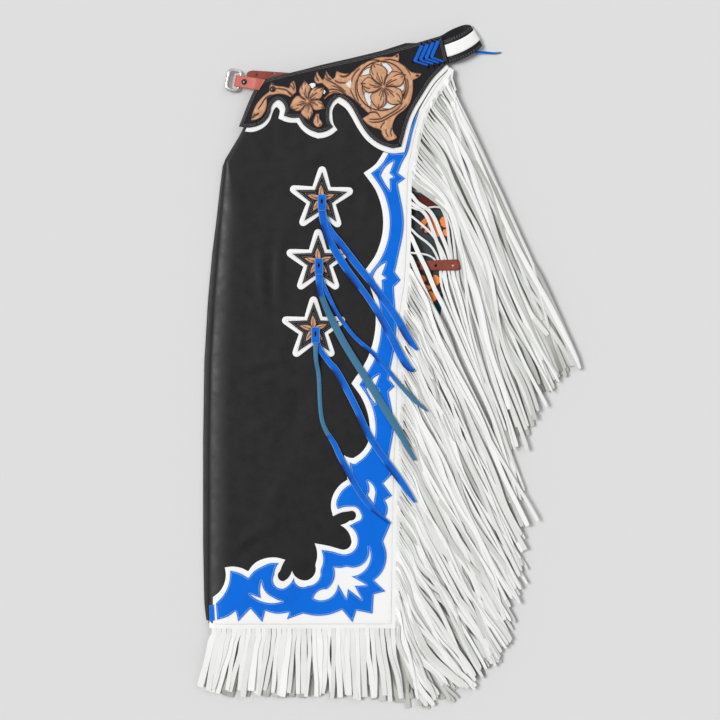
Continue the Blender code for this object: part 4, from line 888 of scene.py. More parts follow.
# Tooled lines: width and the places each passes.
Cut = namedtuple("Cut", "width points")
leafCuts = (
    Cut(1.0, ((-217, 416.6), (-211.2, 424.9), (-206.2, 433.1), (-200.5, 438.1), (-193, 440.9))),
    Cut(1.4, ((-226.4, 402), (-221.1, 406.7), (-215.3, 409.8))),
    Cut(0.9, ((-226.0, 401.5), (-222.5, 409.5))),
    Cut(1.0, ((-188.1, 451.0), (-178.2, 450.0), (-169.9, 447.6), (-161.7, 441.4), (-155.0, 436.5))),
    Cut(0.8, ((-168.3, 458.7), (-161.7, 453.8), (-157.1, 447.3))),
    Cut(1.1, ((-160.6, 460.8), (-158.2, 456.2), (-156.8, 450.8))),
    Cut(0.8, ((-196.3, 459.5), (-191.4, 456.6), (-181.5, 455.2))),
    Cut(0.7, ((-168.5, 445.0), (-164.5, 441.0), (-160.5, 437.8))),
)
vineCuts = (
    Cut(1.3, ((-121.2, 475), (-120.6, 469.4), (-117.1, 462.8))),
    Cut(1.3, ((-105.3, 476), (-102.3, 468.6), (-96.5, 465.3))),
    Cut(1.0, ((-108.5, 470.5), (-103.9, 465.3), (-94, 460.3), (-82.5, 452.9), (-72.6, 445.5))),
    Cut(1.0, ((-103.9, 447.5), (-94, 449.6), (-82.5, 447.1), (-74.2, 441.4), (-66, 435.6))),
    Cut(1.3, ((-82.5, 472.4), (-76.7, 470.2), (-69.3, 472.7), (-62.7, 479.3))),
    Cut(1.0, ((-90.8, 464.5), (-84.1, 460.5), (-72.6, 460.2))),
    Cut(0.8, ((-96.0, 455.5), (-86.0, 452.0), (-77.0, 446.0), (-70.0, 439.0))),
    Cut(1.0, ((-49.5, 484.3), (-56.9, 476.8), (-61.9, 467.8), (-62.7, 461.2))),
    Cut(1.0, ((-65.2, 449.6), (-61, 439.7), (-54.4, 429), (-47, 423.2))),
    Cut(1.0, ((-54.6, 465.5), (-56.4, 454.6), (-55.4, 441.4), (-50.8, 428.2))),
    Cut(1.0, ((-43.7, 490.9), (-37.9, 495.8), (-28, 498.2), (-18.1, 496.8), (-13.2, 494.9))),
    Cut(1.0, ((-9.9, 497.6), (0, 498.7), (13.2, 495.2), (24.8, 487.6), (34.6, 472.7))),
    Cut(1.2, ((27.8, 467.8), (30.2, 457.9), (28.9, 446.3), (23.6, 433.1))),
    Cut(1.0, ((19.8, 424.9), (11.5, 416.6), (-1.6, 408.4), (-16.5, 400.9), (-34.6, 400.1))),
    Cut(1.0, ((28, 424.9), (19, 416.6), (4.9, 407.5), (-11.5, 398), (-24.8, 395.2), (-34.6, 396.3))),
    Cut(1.1, ((-44.8, 405.6), (-39.6, 407.9), (-31.3, 411.7), (-22.3, 411.3), (-15.7, 403.4))),
    Cut(1.0, ((8.2, 393.5), (3, 385.3), (1.3, 378.7), (3.3, 372.1))),
    Cut(0.9, ((-8.2, 396.8), (-13.2, 390.2), (-15.7, 384.8))),
    Cut(1.6, ((9.8, 503.0), (12.9, 505.3))),
    Cut(1.6, ((42.5, 472.1), (48.3, 472.2))),
    Cut(0.8, ((-2.5, 371.0), (-6.0, 377.5), (-6.5, 384.0))),
    Cut(0.7, ((-100.5, 443.0), (-92.0, 445.5), (-82.0, 443.0), (-74.0, 437.5))),
    Cut(1.0, ((-34.6, 424.5), (-33.4, 419.9), (-30.5, 414.0))),
)
budCuts = (
    Cut(0.8, ((-119.5, 407), (-118.5, 399), (-118.0, 394))),
    Cut(0.8, ((-116.6, 390.5), (-113.8, 391.8))),
)
discCuts = (
    Cut(1.0, ((-34.6, 426.5), (-33.0, 421.9), (-31.0, 417.5))),
    Cut(0.9, ((24.2, 446.3), (21.4, 439.7), (18.1, 433.9))),
    Cut(0.8, ((-42.5, 440.0), (-45.5, 452.0), (-44.5, 462.0))),
)
# Pale windows round the large flower, pressed flat and left undyed.
windows = (
    ((-48.2, 471.9), (-43.7, 479), (-38.8, 483), (-31, 486.1), (-30, 475.4), (-39.6, 474)),
    ((-14.2, 492.5), (-6.6, 493.2), (-0.3, 487.6), (3.3, 481.3), (-3.3, 474.2), (-8.6, 483.4)),
    ((21.1, 461.5), (22.4, 454.6), (21.4, 447.1), (18.1, 448.8), (11.2, 452.6), (17, 457.2)),
    ((-41.6, 444.3), (-33.8, 444.7), (-27.7, 441.4), (-31.7, 431.5), (-32.7, 420.8), (-37.9, 428.2), (-41.2, 436.4)),
    ((-8.1, 428.8), (0.8, 425.9), (14, 425.5), (6.6, 419.4), (-4.9, 417.9), (-12.9, 419.9)),
)
vineWindow = ((-73.4, 457.9), (-64.3, 465.1), (-64.0, 459.5), (-65.6, 451.9), (-69.3, 454.6))
# Small pale inlays between the vine and the small flower.
inlaySpots = (
    ((-133.0, 457.9), (-128.7, 460.2), (-122.9, 459.4), (-122.9, 454.9), (-127.5, 451.2), (-131.5, 453.3)),
    ((-111.8, 446.6), (-108.4, 449.0), (-106.0, 446.2), (-107.6, 442.4), (-110.8, 441.9)),
    ((-114.7, 429.8), (-107.9, 419.3), (-111.5, 421.0), (-115.9, 425.5)),
)

Petal = namedtuple("Petal", "angle reach notchAngle notchReach")
smallFlower = dict(
    shape="pointed", x=-136.0, y=430.0,
    petals=(
        Petal(-22, 31.0, 7, 20.8),
        Petal(40, 35.0, 72, 21.6),
        Petal(98, 34.5, 141, 17.5),
        Petal(202, 31.0, 234, 21.0),
        Petal(274, 31.5, 304, 17.5),
    ),
)
largeFlower = dict(
    shape="round", x=-10.7, y=453.8,
    petals=(
        Petal(29, 40.5, 71, 20.5),
        Petal(115, 42.5, 142, 26.0),
        Petal(172, 37.5, 208, 22.5),
        Petal(257, 37.5, 282, 23.5),
        Petal(317, 40.5, 358, 22.5),
    ),
)
# How the tool cuts a line: its width, its fine ends, its depth, and the leather pressed down on one side of it.
# the cut is darkened by antiquing and painted shade (fall); the pressed side is darkened by painted shade (pressDark)
cutting = dict(
    width=1.4, end=0.35, swell=2.2, swellPower=0.7, fall=1.1, deep=0.7,
    pressTo=5.0, pressFade=1.7, pressDeep=0.35, pressDark=0.4,
)


class Cuts:
    # how deep and how dark the tooled lines leave a place
    def __init__(self, cuts):
        self.dots = []
        for cut in cuts:
            line = curveThrough(cut.points, 0.5)
            for i, dot in enumerate(line):
                share = i / max(len(line) - 1, 1)
                swell = cutting["swell"] * min(share, 1 - share) ** cutting["swellPower"]
                width = cut.width * cutting["width"] * min(1.0, cutting["end"] + swell)
                after = line[min(i + 1, len(line) - 1)] - line[max(i - 1, 0)]
                self.dots.append((dot[0], dot[1], width, after[0], after[1]))
        self.tree = treeOf(self.dots)

    def at(self, x, y):
        _, i, far = self.tree.find((x, y, 0.0))
        dotX, dotY, width, alongX, alongY = self.dots[i]
        # dark in the cut: antiquing with painted shade
        dark = exp(-((far / width) ** 2) * cutting["fall"])
        lift = -cutting["deep"] * dark
        side = alongX * (y - dotY) - alongY * (x - dotX)
        # the pressed side is darkened with painted shade
        if side < 0 and far < cutting["pressTo"]:
            press = exp(-far / cutting["pressFade"])
            lift -= cutting["pressDeep"] * press
            dark = max(dark, cutting["pressDark"] * press)
        return lift, dark


# How the tooled leather is worked: its bevelled edge and soft field, a dark line along its edge (dyed edge with painted
# shade) and painted shade fading in from it, a flower's heart with a dark ring round it, darker round the rivet, and
# its uneven colour and face.
tooling = dict(
    edge=1.7, shade=0.22, shadeFade=3.0, field=0.35, fieldFrom=5.0, heart=2.0, heartLift=0.5,
    heartPale=0.25, heartRing=5.2, ringDark=0.5, rivetDarkOut=1.45, rivetDark=0.92, tone=0.08,
    broad=(0.17, 0.16, 1.0), fine=(0.1, 0.7, 2.0), uneven=(0.1, 0.3, 5.0),
)


def tooledRelief(cuts=None, flowerPlan=None, edgeDark=1.0):
    lines = Cuts(cuts) if cuts else None
    strokes = petalStrokes(flowerPlan) if flowerPlan else None

    def relief(x, y, far):
        lift, dark = 0.0, 0.0
        if lines:
            lift, dark = lines.at(x, y)
        if strokes:
            strokeLift, strokeDark = strokes.at(x, y)
            lift += strokeLift
            dark = max(dark, strokeDark)
            reach = hypot(x - flowerPlan["x"], y - flowerPlan["y"])
            if reach < tooling["heart"]:
                lift += tooling["heartLift"] * (1 - reach / tooling["heart"])
                dark *= tooling["heartPale"]
            elif reach < tooling["heartRing"]:
                dark = max(dark, tooling["ringDark"])
        # a dark line along the edge, its dyed edge with painted shade, then painted shade fading in from the edge
        rimDark = exp(-((far / tooling["edge"]) ** 2)) * edgeDark
        dark = max(dark, rimDark, tooling["shade"] * exp(-far / tooling["shadeFade"]))
        mottled = tooling["tone"] + worn(x, y, *tooling["broad"])
        mottled += worn(x, y, *tooling["fine"])
        # darker round the rivet
        if hypot(x - yokeRivet["x"], y - yokeRivet["y"]) < yokeRivet["radius"] * tooling["rivetDarkOut"]:
            dark = max(dark, tooling["rivetDark"])
        lift += tooling["field"] * min(far / tooling["fieldFrom"], 1.0)
        lift += worn(x, y, *tooling["uneven"])
        return lift, min(1.0, max(dark, mottled))

    return relief


# share of the way to the notch, reach between notch and tip
petalShapes = dict(
    round=((0.0, 1.09), (0.1, 0.94), (0.3, 0.78), (0.6, 0.57), (0.88, 0.3)),
    pointed=((0.0, 1.16), (0.06, 1.0), (0.2, 0.8), (0.46, 0.54), (0.8, 0.26)),
)


def petalLoop(plan):
    points = []
    petals = plan["petals"]

    def curl(petal, notchReach, notchAngle, shape):
        for share, swell in shape:
            reach = notchReach + (petal.reach - notchReach) * swell
            points.append(polar(plan, reach, petal.angle + (notchAngle - petal.angle) * share))

    for before, petal in zip(petals[-1:] + petals[:-1], petals):
        notchBefore = before.notchAngle - (360 if before.notchAngle > petal.angle else 0)
        curl(petal, before.notchReach, notchBefore, reversed(petalShapes[plan["shape"]]))
        curl(petal, petal.notchReach, petal.notchAngle, petalShapes[plan["shape"]][1:])
        points.append(polar(plan, petal.notchReach * 0.9, petal.notchAngle))
    return points


def petalPiece(name, node, level, plan):
    low, high = levels[level]
    bundle = cutSheet([petalLoop(plan)], laidTop(level), high - low, 1.0, 1.1, 0.5, tooledRelief(None, plan))
    makePiece(name, bundle, "tooled", replaces=[node])


# The curled edge drawn in each petal: share of its reach, and degrees past its middle.
petalCurl = ((0.97, 1.0), (0.86, 7.0), (0.72, 13.0), (0.58, 15.0))


def petalStrokes(plan):
    # seams between petals, strokes out of the heart, and the line of a curled edge in each petal
    strokes = []

    def ray(angle, start, end, width, bend):
        places = ((start, angle), ((start + end) / 2, angle + bend), (end, angle))
        strokes.append(Cut(width, tuple(polar(plan, reach, turn) for reach, turn in places)))

    for petal in plan["petals"]:
        ray(petal.notchAngle, 4.0, petal.notchReach + 1.0, 1.5, 5.0)
        ray(petal.angle, 5.0, petal.reach * 0.62, 0.75, 3.0)
        ray(petal.angle - 12, 5.0, petal.reach * 0.42, 0.6, -4.0)
        ray(petal.angle + 12, 5.0, petal.reach * 0.46, 0.6, 4.0)
        strokes.append(Cut(0.7, [polar(plan, petal.reach * share, petal.angle + turn) for share, turn in petalCurl]))
        ends = (polar(plan, petal.reach, petal.angle), polar(plan, petal.reach * 0.8, petal.angle - 1.5))
        strokes.append(Cut(0.8, ends))
    return Cuts(strokes)


def polar(plan, reach, angle):
    turn = radians(angle)
    return (plan["x"] + reach * cos(turn), plan["y"] + reach * sin(turn))


# The disc is tooled round its windows, which are pressed flat and left pale, each with a dark line round it: a dyed
# edge with painted shade.
discPlan = dict(edgeDark=0.2, inward=8.0, pressed=-0.55, rim=1.4, rimDark=0.95)


def discRelief():
    base = tooledRelief(discCuts, None, discPlan["edgeDark"])
    loops = [smoothLoop(window, 1.0, 40) for window in windows]
    rims = Rims(loops)

    def relief(x, y, far):
        lift, dark = base(x, y, discPlan["inward"])
        near = rims.far(x, y)
        if insideOf([(x, y)], loops)[0]:
            return discPlan["pressed"], 0.0
        # the dark line round a window: dyed edge with painted shade
        return lift, max(dark, exp(-((near / discPlan["rim"]) ** 2)) * discPlan["rimDark"])

    return relief, loops


def paintInside(name, loops):
    # marks the places of a piece inside outlines, which are left pale
    mesh = made[name].data
    layer = mesh.attributes.new("paint", "FLOAT", "POINT")
    layer.data.foreach_set("value", insideOf([onTable(corner) for corner in mesh.vertices], loops).astype(float))


def tooledPiece(name, node, relief):
    flatPiece(name, node, "tooled", "tooled", 1.0, 1.1, 0.5, relief)


yokeUnderShape = flatPiece("yokeUnderlay", "yoke_underlay", "white", "under", step=8.0, edgeStep=2.4)
yokeShape = flatPiece("yokePanel", "yoke", "yokeBlack", "yoke", step=7.0, edgeStep=2.4, rounding=0.6)
tooledPiece("stemLeaf", "stem_leaf", tooledRelief(leafCuts))
tooledPiece("tooledVine", "vine", tooledRelief(vineCuts))
paintInside("tooledVine", [smoothLoop(vineWindow, 1.0, 40)])
tooledPiece("tooledBud", "bud", tooledRelief(budCuts))
discShape, windowLoops = discRelief()
tooledPiece("flowerDisc", "inlay", discShape)
paintInside("flowerDisc", windowLoops)
petalPiece("smallFlower", "flower_small", "tooled", smallFlower)
petalPiece("largeFlower", "flower_large", "raised", largeFlower)
spots = Bundle()
inlayHigh = 7.6
for corners in inlaySpots:
    spot = cutSheet([corners], lambda x, y: legTop(x) + inlayHigh - panelTop, 0.8, 2.0, 1.2, 0.3)
    spots.add(spot.points, spot.faces, rim=spot.layers["rim"])
makePiece("paleInlays", spots, "white")
coverNodes = ["stem_leaf", "vine", "bud", "flower_small"] + [f"lacing_{number}" for number in (1, 2, 3, 4)]
tooledCover = [cadLoops(node)[0] for node in coverNodes]
stitchAround("yokeStitches", yokeShape, yokeSewing, tooledCover)
print("yoke ready")


# The thong laced through the back of the yoke, its edges darkened with painted shade, and the holes round it, shown as
# near-black plugs of painted shade.
lacing = dict(
    holeRadius=1.5, holeDepth=1.7, holeRim=0.12, belly=0.5, bellyFade=1.2, edgeDark=0.9,
    tone=0.02, worn=(0.25, 0.35, 11.0),
)
lacingHoles = (
    (47.5, 498.3), (56.6, 500.8), (65.6, 502.8),
    (51.5, 525.4), (60.7, 527.6), (69.3, 530.0), (77.3, 532.0),
    (63.2, 486.4), (72.6, 488.2), (81.0, 490.4), (89.0, 492.6), (37.6, 495.0),
)


def lacingRelief(x, y, far):
    rubbed = lacing["tone"] + worn(x, y, *lacing["worn"])
    # painted shade along the thong's edges, over its uneven colour
    dark = max(lacing["edgeDark"] * exp(-(far**2)), rubbed)
    return -lacing["belly"] * exp(-far / lacing["bellyFade"]), dark


for number in (1, 2, 3, 4):
    flatPiece(f"lacing{number}", f"lacing_{number}", "tie", "tooled", 1.4, 1.4, 0.6, lacingRelief)
# near-black plugs: painted shade inside the holes
punches = Bundle()
for x, y in lacingHoles:
    top = legTop(x) + levels["tooled"][1] - panelTop
    oval = ovalPoints(x, y, lacing["holeRadius"], lacing["holeRadius"])
    addPlug(punches, oval, top - lacing["holeDepth"], top + lacing["holeRim"])
makePiece("lacingHoles", punches, "hole")
print("lacing ready")


# The back belt, from under the yoke round its fold and back: its two edges and height at each station.
Band = namedtuple("Band", "topX topY lowX lowY z")
beltStations = [Band(*row) for row in (
    (66.8, 528.9, 69.4, 489.0, 9.1), (88.3, 532.1, 97.4, 493.7, 9.0), (99.0, 535.4, 110.6, 497.1, 11.5),
    (112.2, 540.4, 124.6, 502.8, 13.0), (123.8, 547.0, 137.8, 510.2, 12.6), (130.8, 552.8, 147.3, 517.6, 10.6),
    (132.5, 555.6, 151.5, 523.0, 7.6), (128.7, 558.2, 147.7, 525.5, 4.6), (120.5, 557.5, 135.3, 520.6, 2.8),
    (107.3, 552.8, 120.5, 515.6, 2.3), (97.4, 548.1, 107.3, 509.9, 2.3), (85.8, 541.2, 94.9, 502.4, 2.3),
    (67.0, 533.0, 69.4, 494.0, 2.3),
)]
belt = dict(thick=3.0, stitches=(0.045, 0.10, 0.9, 0.955), tuck=0.9)
# its pale overlay: first and last station, low and high share of the width, inner and outer face
overlay = dict(reach=(1, 7), shares=(0.27, 0.78), faces=(belt["thick"] / 2 + 0.4, belt["thick"] / 2 + 1.7))


def beltFrames(first, last, spacing=2.5):
    # the belt's lower and upper edge and its outward way, from one station to another
    rows = curveRows([(s.topX, s.topY, s.z, s.lowX, s.lowY, s.z) for s in beltStations], spacing, 3, 2)
    kept = [row for position, row in rows if first <= position <= last]
    frames = []
    for i, row in enumerate(kept):
        top, low = Vector(row[:3]), Vector(row[3:])
        before, after = kept[max(i - 1, 0)], kept[min(i + 1, len(kept) - 1)]
        along = Vector(after[:3]) + Vector(after[3:]) - Vector(before[:3]) - Vector(before[3:])
        frames.append((low, top, along.normalized().cross(top - low).normalized()))
    return frames


def beltBand(name, node, finish, reach, shares, faces):
    points, rim = [], []
    frames = beltFrames(*reach)
    (lowShare, highShare), (inner, outer) = shares, faces
    soft = min(0.5, (outer - inner) / 3)
    for number, (low, top, out) in enumerate(frames):
        if not reach[0]:  # it narrows where it goes under the yoke
            top = low.lerp(top, belt["tuck"] + (1 - belt["tuck"]) * min(number / 9, 1.0))
        wide = (top - low).length
        section = [(lowShare, inner), (lowShare, outer - soft), (lowShare + soft / wide, outer)]
        section += [(lowShare + (highShare - lowShare) * i / 6, outer) for i in range(1, 6)]
        section += [(highShare - soft / wide, outer), (highShare, outer - soft), (highShare, inner)]
        for share, offset in section:
            points.append(low.lerp(top, share) + out * offset)
            rim.append(1.0 if share in shares and offset != inner else 0.0)
    makePiece(name, Bundle(points, loftFaces(len(frames), len(section)), rim=rim), finish, replaces=[node])


def beltSewing():
    threads = Bundle()
    for share in belt["stitches"]:
        rows = [(low.lerp(top, share) + out * belt["thick"] / 2, out) for low, top, out in beltFrames(1, 7.6, 1.5)]
        for (first, out), (second, _) in list(zip(rows, rows[2:]))[::3]:
            across = (second - first).cross(out).normalized() * 0.3
            points = []
            for way, up in ((0.0, -0.2), (0.25, 0.4), (0.75, 0.4), (1.0, -0.2)):
                middle = first.lerp(second, way) + out * up
                for side, rise in ((-1, -0.3), (-0.5, 0.15), (0.5, 0.15), (1, -0.3)):
                    points.append(middle + across * side + out * rise)
            threads.add(points, loftFaces(4, 4))
    makePiece("beltStitches", threads, "greyThread")


half = belt["thick"] / 2
beltBand("backBelt", "belt", "yokeBlack", (0, 12), (0.0, 1.0), (-half, half))
beltBand("beltOverlay", "belt_overlay", "white", **overlay)
beltSewing()
print("belt ready")


# The stars, each with a flower, a knot and two thongs.
Star = namedtuple("Star", "x y turned knotX knotY")
stars = (
    Star(-113.5, 269.0, -2.0, -112.0, 263.0),
    Star(-118.5, 165.5, 0.0, -117.0, 158.0),
    Star(-126.0, 54.5, 0.0, -122.5, 45.0),
)
starSewing = dict(
    # which sheet: how deep the rows lie, what covers them, and the thread
    White=dict(
        depths=(5.2,), level="under", finish="whiteThread", cover="star_black", pitch=3.6, length=2.8, radius=0.28,
    ),
    Black=dict(
        depths=(2.4, 5.6), level="over", finish="greyThread", cover="star_flower", pitch=3.2, length=2.8, radius=0.32,
    ),
)
# One petal of a star's flower: reach from its middle and degrees round from its tip.
starPetal = ((6.6, -36), (10.5, -24), (17.0, -8.5), (23.8, 3), (17.5, 12), (11.0, 25))
# Lines tooled into each petal: width, then the places it passes.
starLines = (
    (0.45, ((4.0, 0), (11.0, 5), (18.5, 1))),
    (0.35, ((4.0, 16), (9.5, 14))),
    (0.8, ((2.0, 36), (9.5, 36))),
)
# the petals' darkened edges (edgeDark) are dyed edges with painted shade
starTooling = dict(
    tone=0.04, worn=(0.12, 0.2, 7.0), edge=0.5, edgeDark=0.7, cutShare=0.6, field=0.25,
    fieldFrom=3.0,
)
# The slit through each knot's tab, up from the knot's own place, how the tab is pulled down there, and the painted
# shade on the lip round it.
knotSlit = dict(
    up=2.0, halfWide=1.2, halfTall=3.1, low=-0.1, high=0.5, pullWide=2.0, pullTall=4.4,
    pull=0.55, pullAt=0.6, pullSoft=0.4, lip=1.0, lipSoft=0.05, lipDark=0.8,
)
knotEnds = dict(half=13.5, start=0.55, power=1.5, drop=0.8)


def roundStar(place, rows):
    # the same places in each of a star's five petals
    plan = dict(x=place.x, y=place.y)
    turns = [place.turned + 90 + 72 * i for i in range(5)]
    return [[polar(plan, reach, turn + lean) for reach, lean in rows] for turn in turns]


def starRelief(place):
    strokes = [roundStar(place, rows) for _, rows in starLines]
    lines = Cuts([Cut(width, rows[i]) for i in range(5) for (width, _), rows in zip(starLines, strokes)])

    def relief(x, y, far):
        lift, dark = lines.at(x, y)
        mottled = starTooling["tone"] + worn(x, y, *starTooling["worn"])
        dark = max(dark, starTooling["edgeDark"] * exp(-((far / starTooling["edge"]) ** 2)), mottled)
        field = starTooling["field"] * min(far / starTooling["fieldFrom"], 1.0)
        return lift * starTooling["cutShare"] + field, min(dark, 1.0)

    return relief


def knotRelief(place):
    def relief(x, y, far):
        # the tab is pulled down at its slit and rounds over at its ends; painted shade darkens the lip round the slit
        across = (x - place.knotX) / knotSlit["pullWide"]
        slit = hypot(across, (y - place.knotY - knotSlit["up"]) / knotSlit["pullTall"])
        pull = -knotSlit["pull"] * exp(-((slit - knotSlit["pullAt"]) ** 2) / knotSlit["pullSoft"])
        past = max(0.0, abs(y - place.knotY) / knotEnds["half"] - knotEnds["start"])
        ends = -knotEnds["drop"] * past ** knotEnds["power"]
        return pull + ends, knotSlit["lipDark"] * exp(-((slit - knotSlit["lip"]) ** 2) / knotSlit["lipSoft"])

    return relief


def makeStar(number, place):
    shapes = dict(
        White=flatPiece(f"starWhite{number}", f"star_white_{number}", "white", "under", 4.0, 1.8, 0.4),
        Black=flatPiece(f"starBlack{number}", f"star_black_{number}", "yokeBlack", "over", 4.0, 1.8, 0.35),
    )
    low, high = levels["starTop"]
    outline = sum(roundStar(place, starPetal), [])
    petals = cutSheet([outline], laidTop("starTop"), high - low, 0.8, 0.8, 0.35, starRelief(place))
    makePiece(f"starFlower{number}", petals, "tooled", replaces=[f"star_flower_{number}"])
    flatPiece(f"starKnot{number}", f"knot_{number}", "tie", "knot", 1.2, 1.0, 0.5, knotRelief(place))
    for sheet, plan in starSewing.items():
        cover = cadLoops(f"{plan['cover']}_{number}")[:1]
        stitchAround(f"star{sheet}Stitches{number}", shapes[sheet], plan, cover)
    # a near-black plug in the slit: painted shade
    slit = Bundle()
    oval = ovalPoints(place.knotX, place.knotY + knotSlit["up"], knotSlit["halfWide"], knotSlit["halfTall"])
    top = legTop(place.knotX) + levels["knot"][0] - panelTop
    addPlug(slit, oval, top + knotSlit["low"], top + knotSlit["high"])
    makePiece(f"knotSlit{number}", slit, "hole")


tieThin = 1.4
Tie = namedtuple("Tie", "name node width teal stations")
ties = (
    # teal: share of the way along and how teal it is there; then each station's x, y, height above the layers under
    # the near leg, roll in degrees and share of the width
    Tie("tie1Right", "tie_1_a", 12, ((0, 0),), (
        (-111.5, 263, 7.4, 0, 1.0), (-109.5, 240, 7.4, 6, 1.0), (-97.5, 217, 6.4, 10, 0.8),
        (-78.5, 192, 5.9, 6, 1.0), (-58, 165, 5.9, 0, 1.0), (-29.5, 129.5, 5.9, 4, 0.95), (8, 78, 6.2, -4, 1.0),
        (30, 40, 9, 0, 1.0), (44.5, 21, 9.8, 0, 0.45),
    )),
    Tie("tie1Left", "tie_1_b", 12, ((0, 0),), (
        (-112.5, 260, 9.1, 0, 1.0), (-110.5, 237, 9.1, -6, 1.0), (-104, 212, 8.4, -10, 0.85),
        (-91.5, 185.5, 7.6, -8, 1.0), (-72, 154.5, 5.9, 0, 1.0), (-53, 129.5, 5.9, 6, 0.9),
        (-33, 102, 5.9, 8, 0.85), (-8, 62, 5.9, 2, 1.0), (24, 0, 8.6, 0, 1.0), (39.5, -14, 9.6, 0, 0.45),
    )),
    Tie("tie2Right", "tie_2_a", 7, ((0.55, 0), (0.95, 1)), (
        (-117, 157.5, 7.4, 0, 1.2), (-113, 136, 7.4, 8, 1.2), (-107, 121.5, 7, 12, 1.0),
        (-97.5, 101.5, 5.9, 10, 0.9), (-85, 77.5, 5.9, 4, 0.9), (-59.5, 43.5, 5.9, 0, 0.9), (-25, 12, 5.9, -6, 1.0),
        (16.5, -37, 7.6, 0, 1.0), (40, -62, 9.8, 0, 1.1), (61, -80, 11, 0, 0.4),
    )),
    Tie("tie2Left", "tie_2_b", 12, ((0.1, 0), (0.18, 1)), (
        (-118, 154.5, 9.1, 0, 1.0), (-116.5, 133, 9.1, 0, 0.95), (-114.5, 116.5, 8.9, -8, 0.8),
        (-105, 90, 7.7, -6, 0.85), (-93, 65, 6.2, 0, 0.95), (-74, 29, 5.9, 6, 1.0), (-33, -37, 5.9, 4, 1.0),
        (8, -103, 6.8, 0, 1.0), (41, -161, 9.8, 0, 0.4),
    )),
    Tie("tie3Right", "tie_3_a", 11, ((0, 0),), (
        (-120.5, 37, 7.4, 0, 1.0), (-118, 25.5, 7.4, 0, 0.9), (-110.5, 14, 6.4, 8, 0.8), (-100.5, 1, 5.9, 6, 0.9),
        (-85, -19, 4.6, 0, 1.0), (-58, -70, 5.9, 4, 1.0), (-30, -128, 5.9, -4, 1.0), (16.5, -194, 7.8, 0, 1.0),
        (41, -230, 9.8, 0, 0.4),
    )),
    Tie("tie3Left", "tie_3_b", 9, ((0.46, 1), (0.46, 0)), (
        (-122, 34, 9.1, 0, 1.1), (-122.5, 20.5, 9.1, 6, 0.9), (-121.5, 1, 7.4, 10, 0.8),
        (-117.5, -22.5, 3.4, 8, 0.8), (-112, -95, 2.9, 0, 0.8), (-91, -136, 4.5, -6, 1.0),
        (-77.5, -164, 5.9, 0, 1.1), (-41, -227, 5.9, 4, 1.1), (0, -265, 6.9, 0, 0.4),
    )),
)


def bandSection(shoulder, fade):
    # across a flat thong or strand: side, height in thicknesses, and how much that place is an edge
    low, high = ((-1, -0.5, 1), (1, -0.5, 1), (1, 0.3, 1)), (-1, 0.3, 1)
    return low + ((shoulder, 0.5, fade), (0, 0.5, 0), (-shoulder, 0.5, fade), high)


thongSection = bandSection(0.82, 0.35)
strandSection = bandSection(0.9, 0.2)


def makeThong(name, node, rows, width, thin, spacing, crown, paintOf, crease, stainOf=None):
    # a flat thong: rows are x, y, z of its middle, roll, share of the width
    line = curveThrough(rows, spacing)
    points, rims = [], []
    for i, row in enumerate(line):
        before, after = line[max(i - 1, 0)], line[min(i + 1, len(line) - 1)]
        along = Vector((after[0] - before[0], after[1] - before[1], after[2] - before[2])).normalized()
        level = Vector((-along.y, along.x, 0)).normalized()
        roll = radians(row[3])
        across = level * cos(roll) + Vector((0, 0, 1)) * sin(roll)
        up = along.cross(across)
        if up.z < 0:
            up.negate()
        half = width * row[4] / 2
        for side, rise, rim in thongSection:
            lift = rise * thin + (crown if side == 0 else 0.0)
            points.append(Vector(row[:3]) + across * half * side + up * lift)
            rims.append(rim)
    count = len(thongSection)
    layers = dict(rim=rims, paint=[paintOf(i, len(line)) for i in range(len(line)) for _ in range(count)])
    if stainOf:
        layers["stain"] = [stain for i in range(len(line)) for stain in stainOf(i, len(line))]
    bundle = Bundle(points, loftFaces(len(line), count), **layers)
    makePiece(name, bundle, "tie", crease=crease, replaces=[node])


def paintedSideShade(i, count):
    # painted shade: along part of the way one side of the thong is darkened, coming and going in slow waves
    fold = ease(0.5 + 0.5 * sin(i * 0.21 + count), 0.35, 0.9)
    return [fold * share for share in (0.9, 0.2, 0.1, 0.05, 0.3, 0.9, 1.0)]


def makeTie(tie):
    def teal(i, count):
        return float(np.interp(i / (count - 1), *zip(*tie.teal)))

    rows = [(x, y, legTop(x) - panelTop + lift + tieThin / 2, roll, share) for x, y, lift, roll, share in tie.stations]
    makeThong(tie.name, tie.node, rows, tie.width, tieThin, 3.0, 0.35, teal, 70, paintedSideShade)


for number, place in enumerate(stars, 1):
    makeStar(number, place)
for tie in ties:
    makeTie(tie)
print("stars ready")


# The front strap with its ring and rivets.
barAt = dict(x=-248.3, y=464.0, z=7.0)
strap = dict(
    turn=-11.3, width=19.0, thick=2.2, slant=3.5, slope=18.2,
    path=(
        (38.0, 19.1), (27.0, 19.1), (2.0, 10.9), (-4.2, 10.7), (-6.8, 9.6), (-7.9, 7.0),
        (-6.8, 4.4), (-4.2, 3.3), (1.8, 3.3), (4.0, 5.4), (5.5, 9.3), (13.5, 11.9),
    ),
)
rivet = dict(x=8.5, radius=5.0, height=2.6, washer=0.48, washerHigh=0.9, startZ=10.9)
ringPlan = dict(barToLeft=19.9, halfHeight=16.4, corner=6.4, barRadius=2.2, leftHalf=3.2, depth=2.0)


def inStrapFrame(x, y, z):
    # from the strap's own frame to the table
    turn = radians(strap["turn"])
    return Vector((
        barAt["x"] + x * cos(turn) - y * sin(turn),
        barAt["y"] + x * sin(turn) + y * cos(turn),
        z,
    ))


strapShares = (-1, -0.97, -0.85, -0.5, -0.2, 0.2, 0.5, 0.85, 0.97, 1)
strapSoft = {1: 0.55, 0.97: 0.9}  # the share of its thickness left at an edge and just inside it


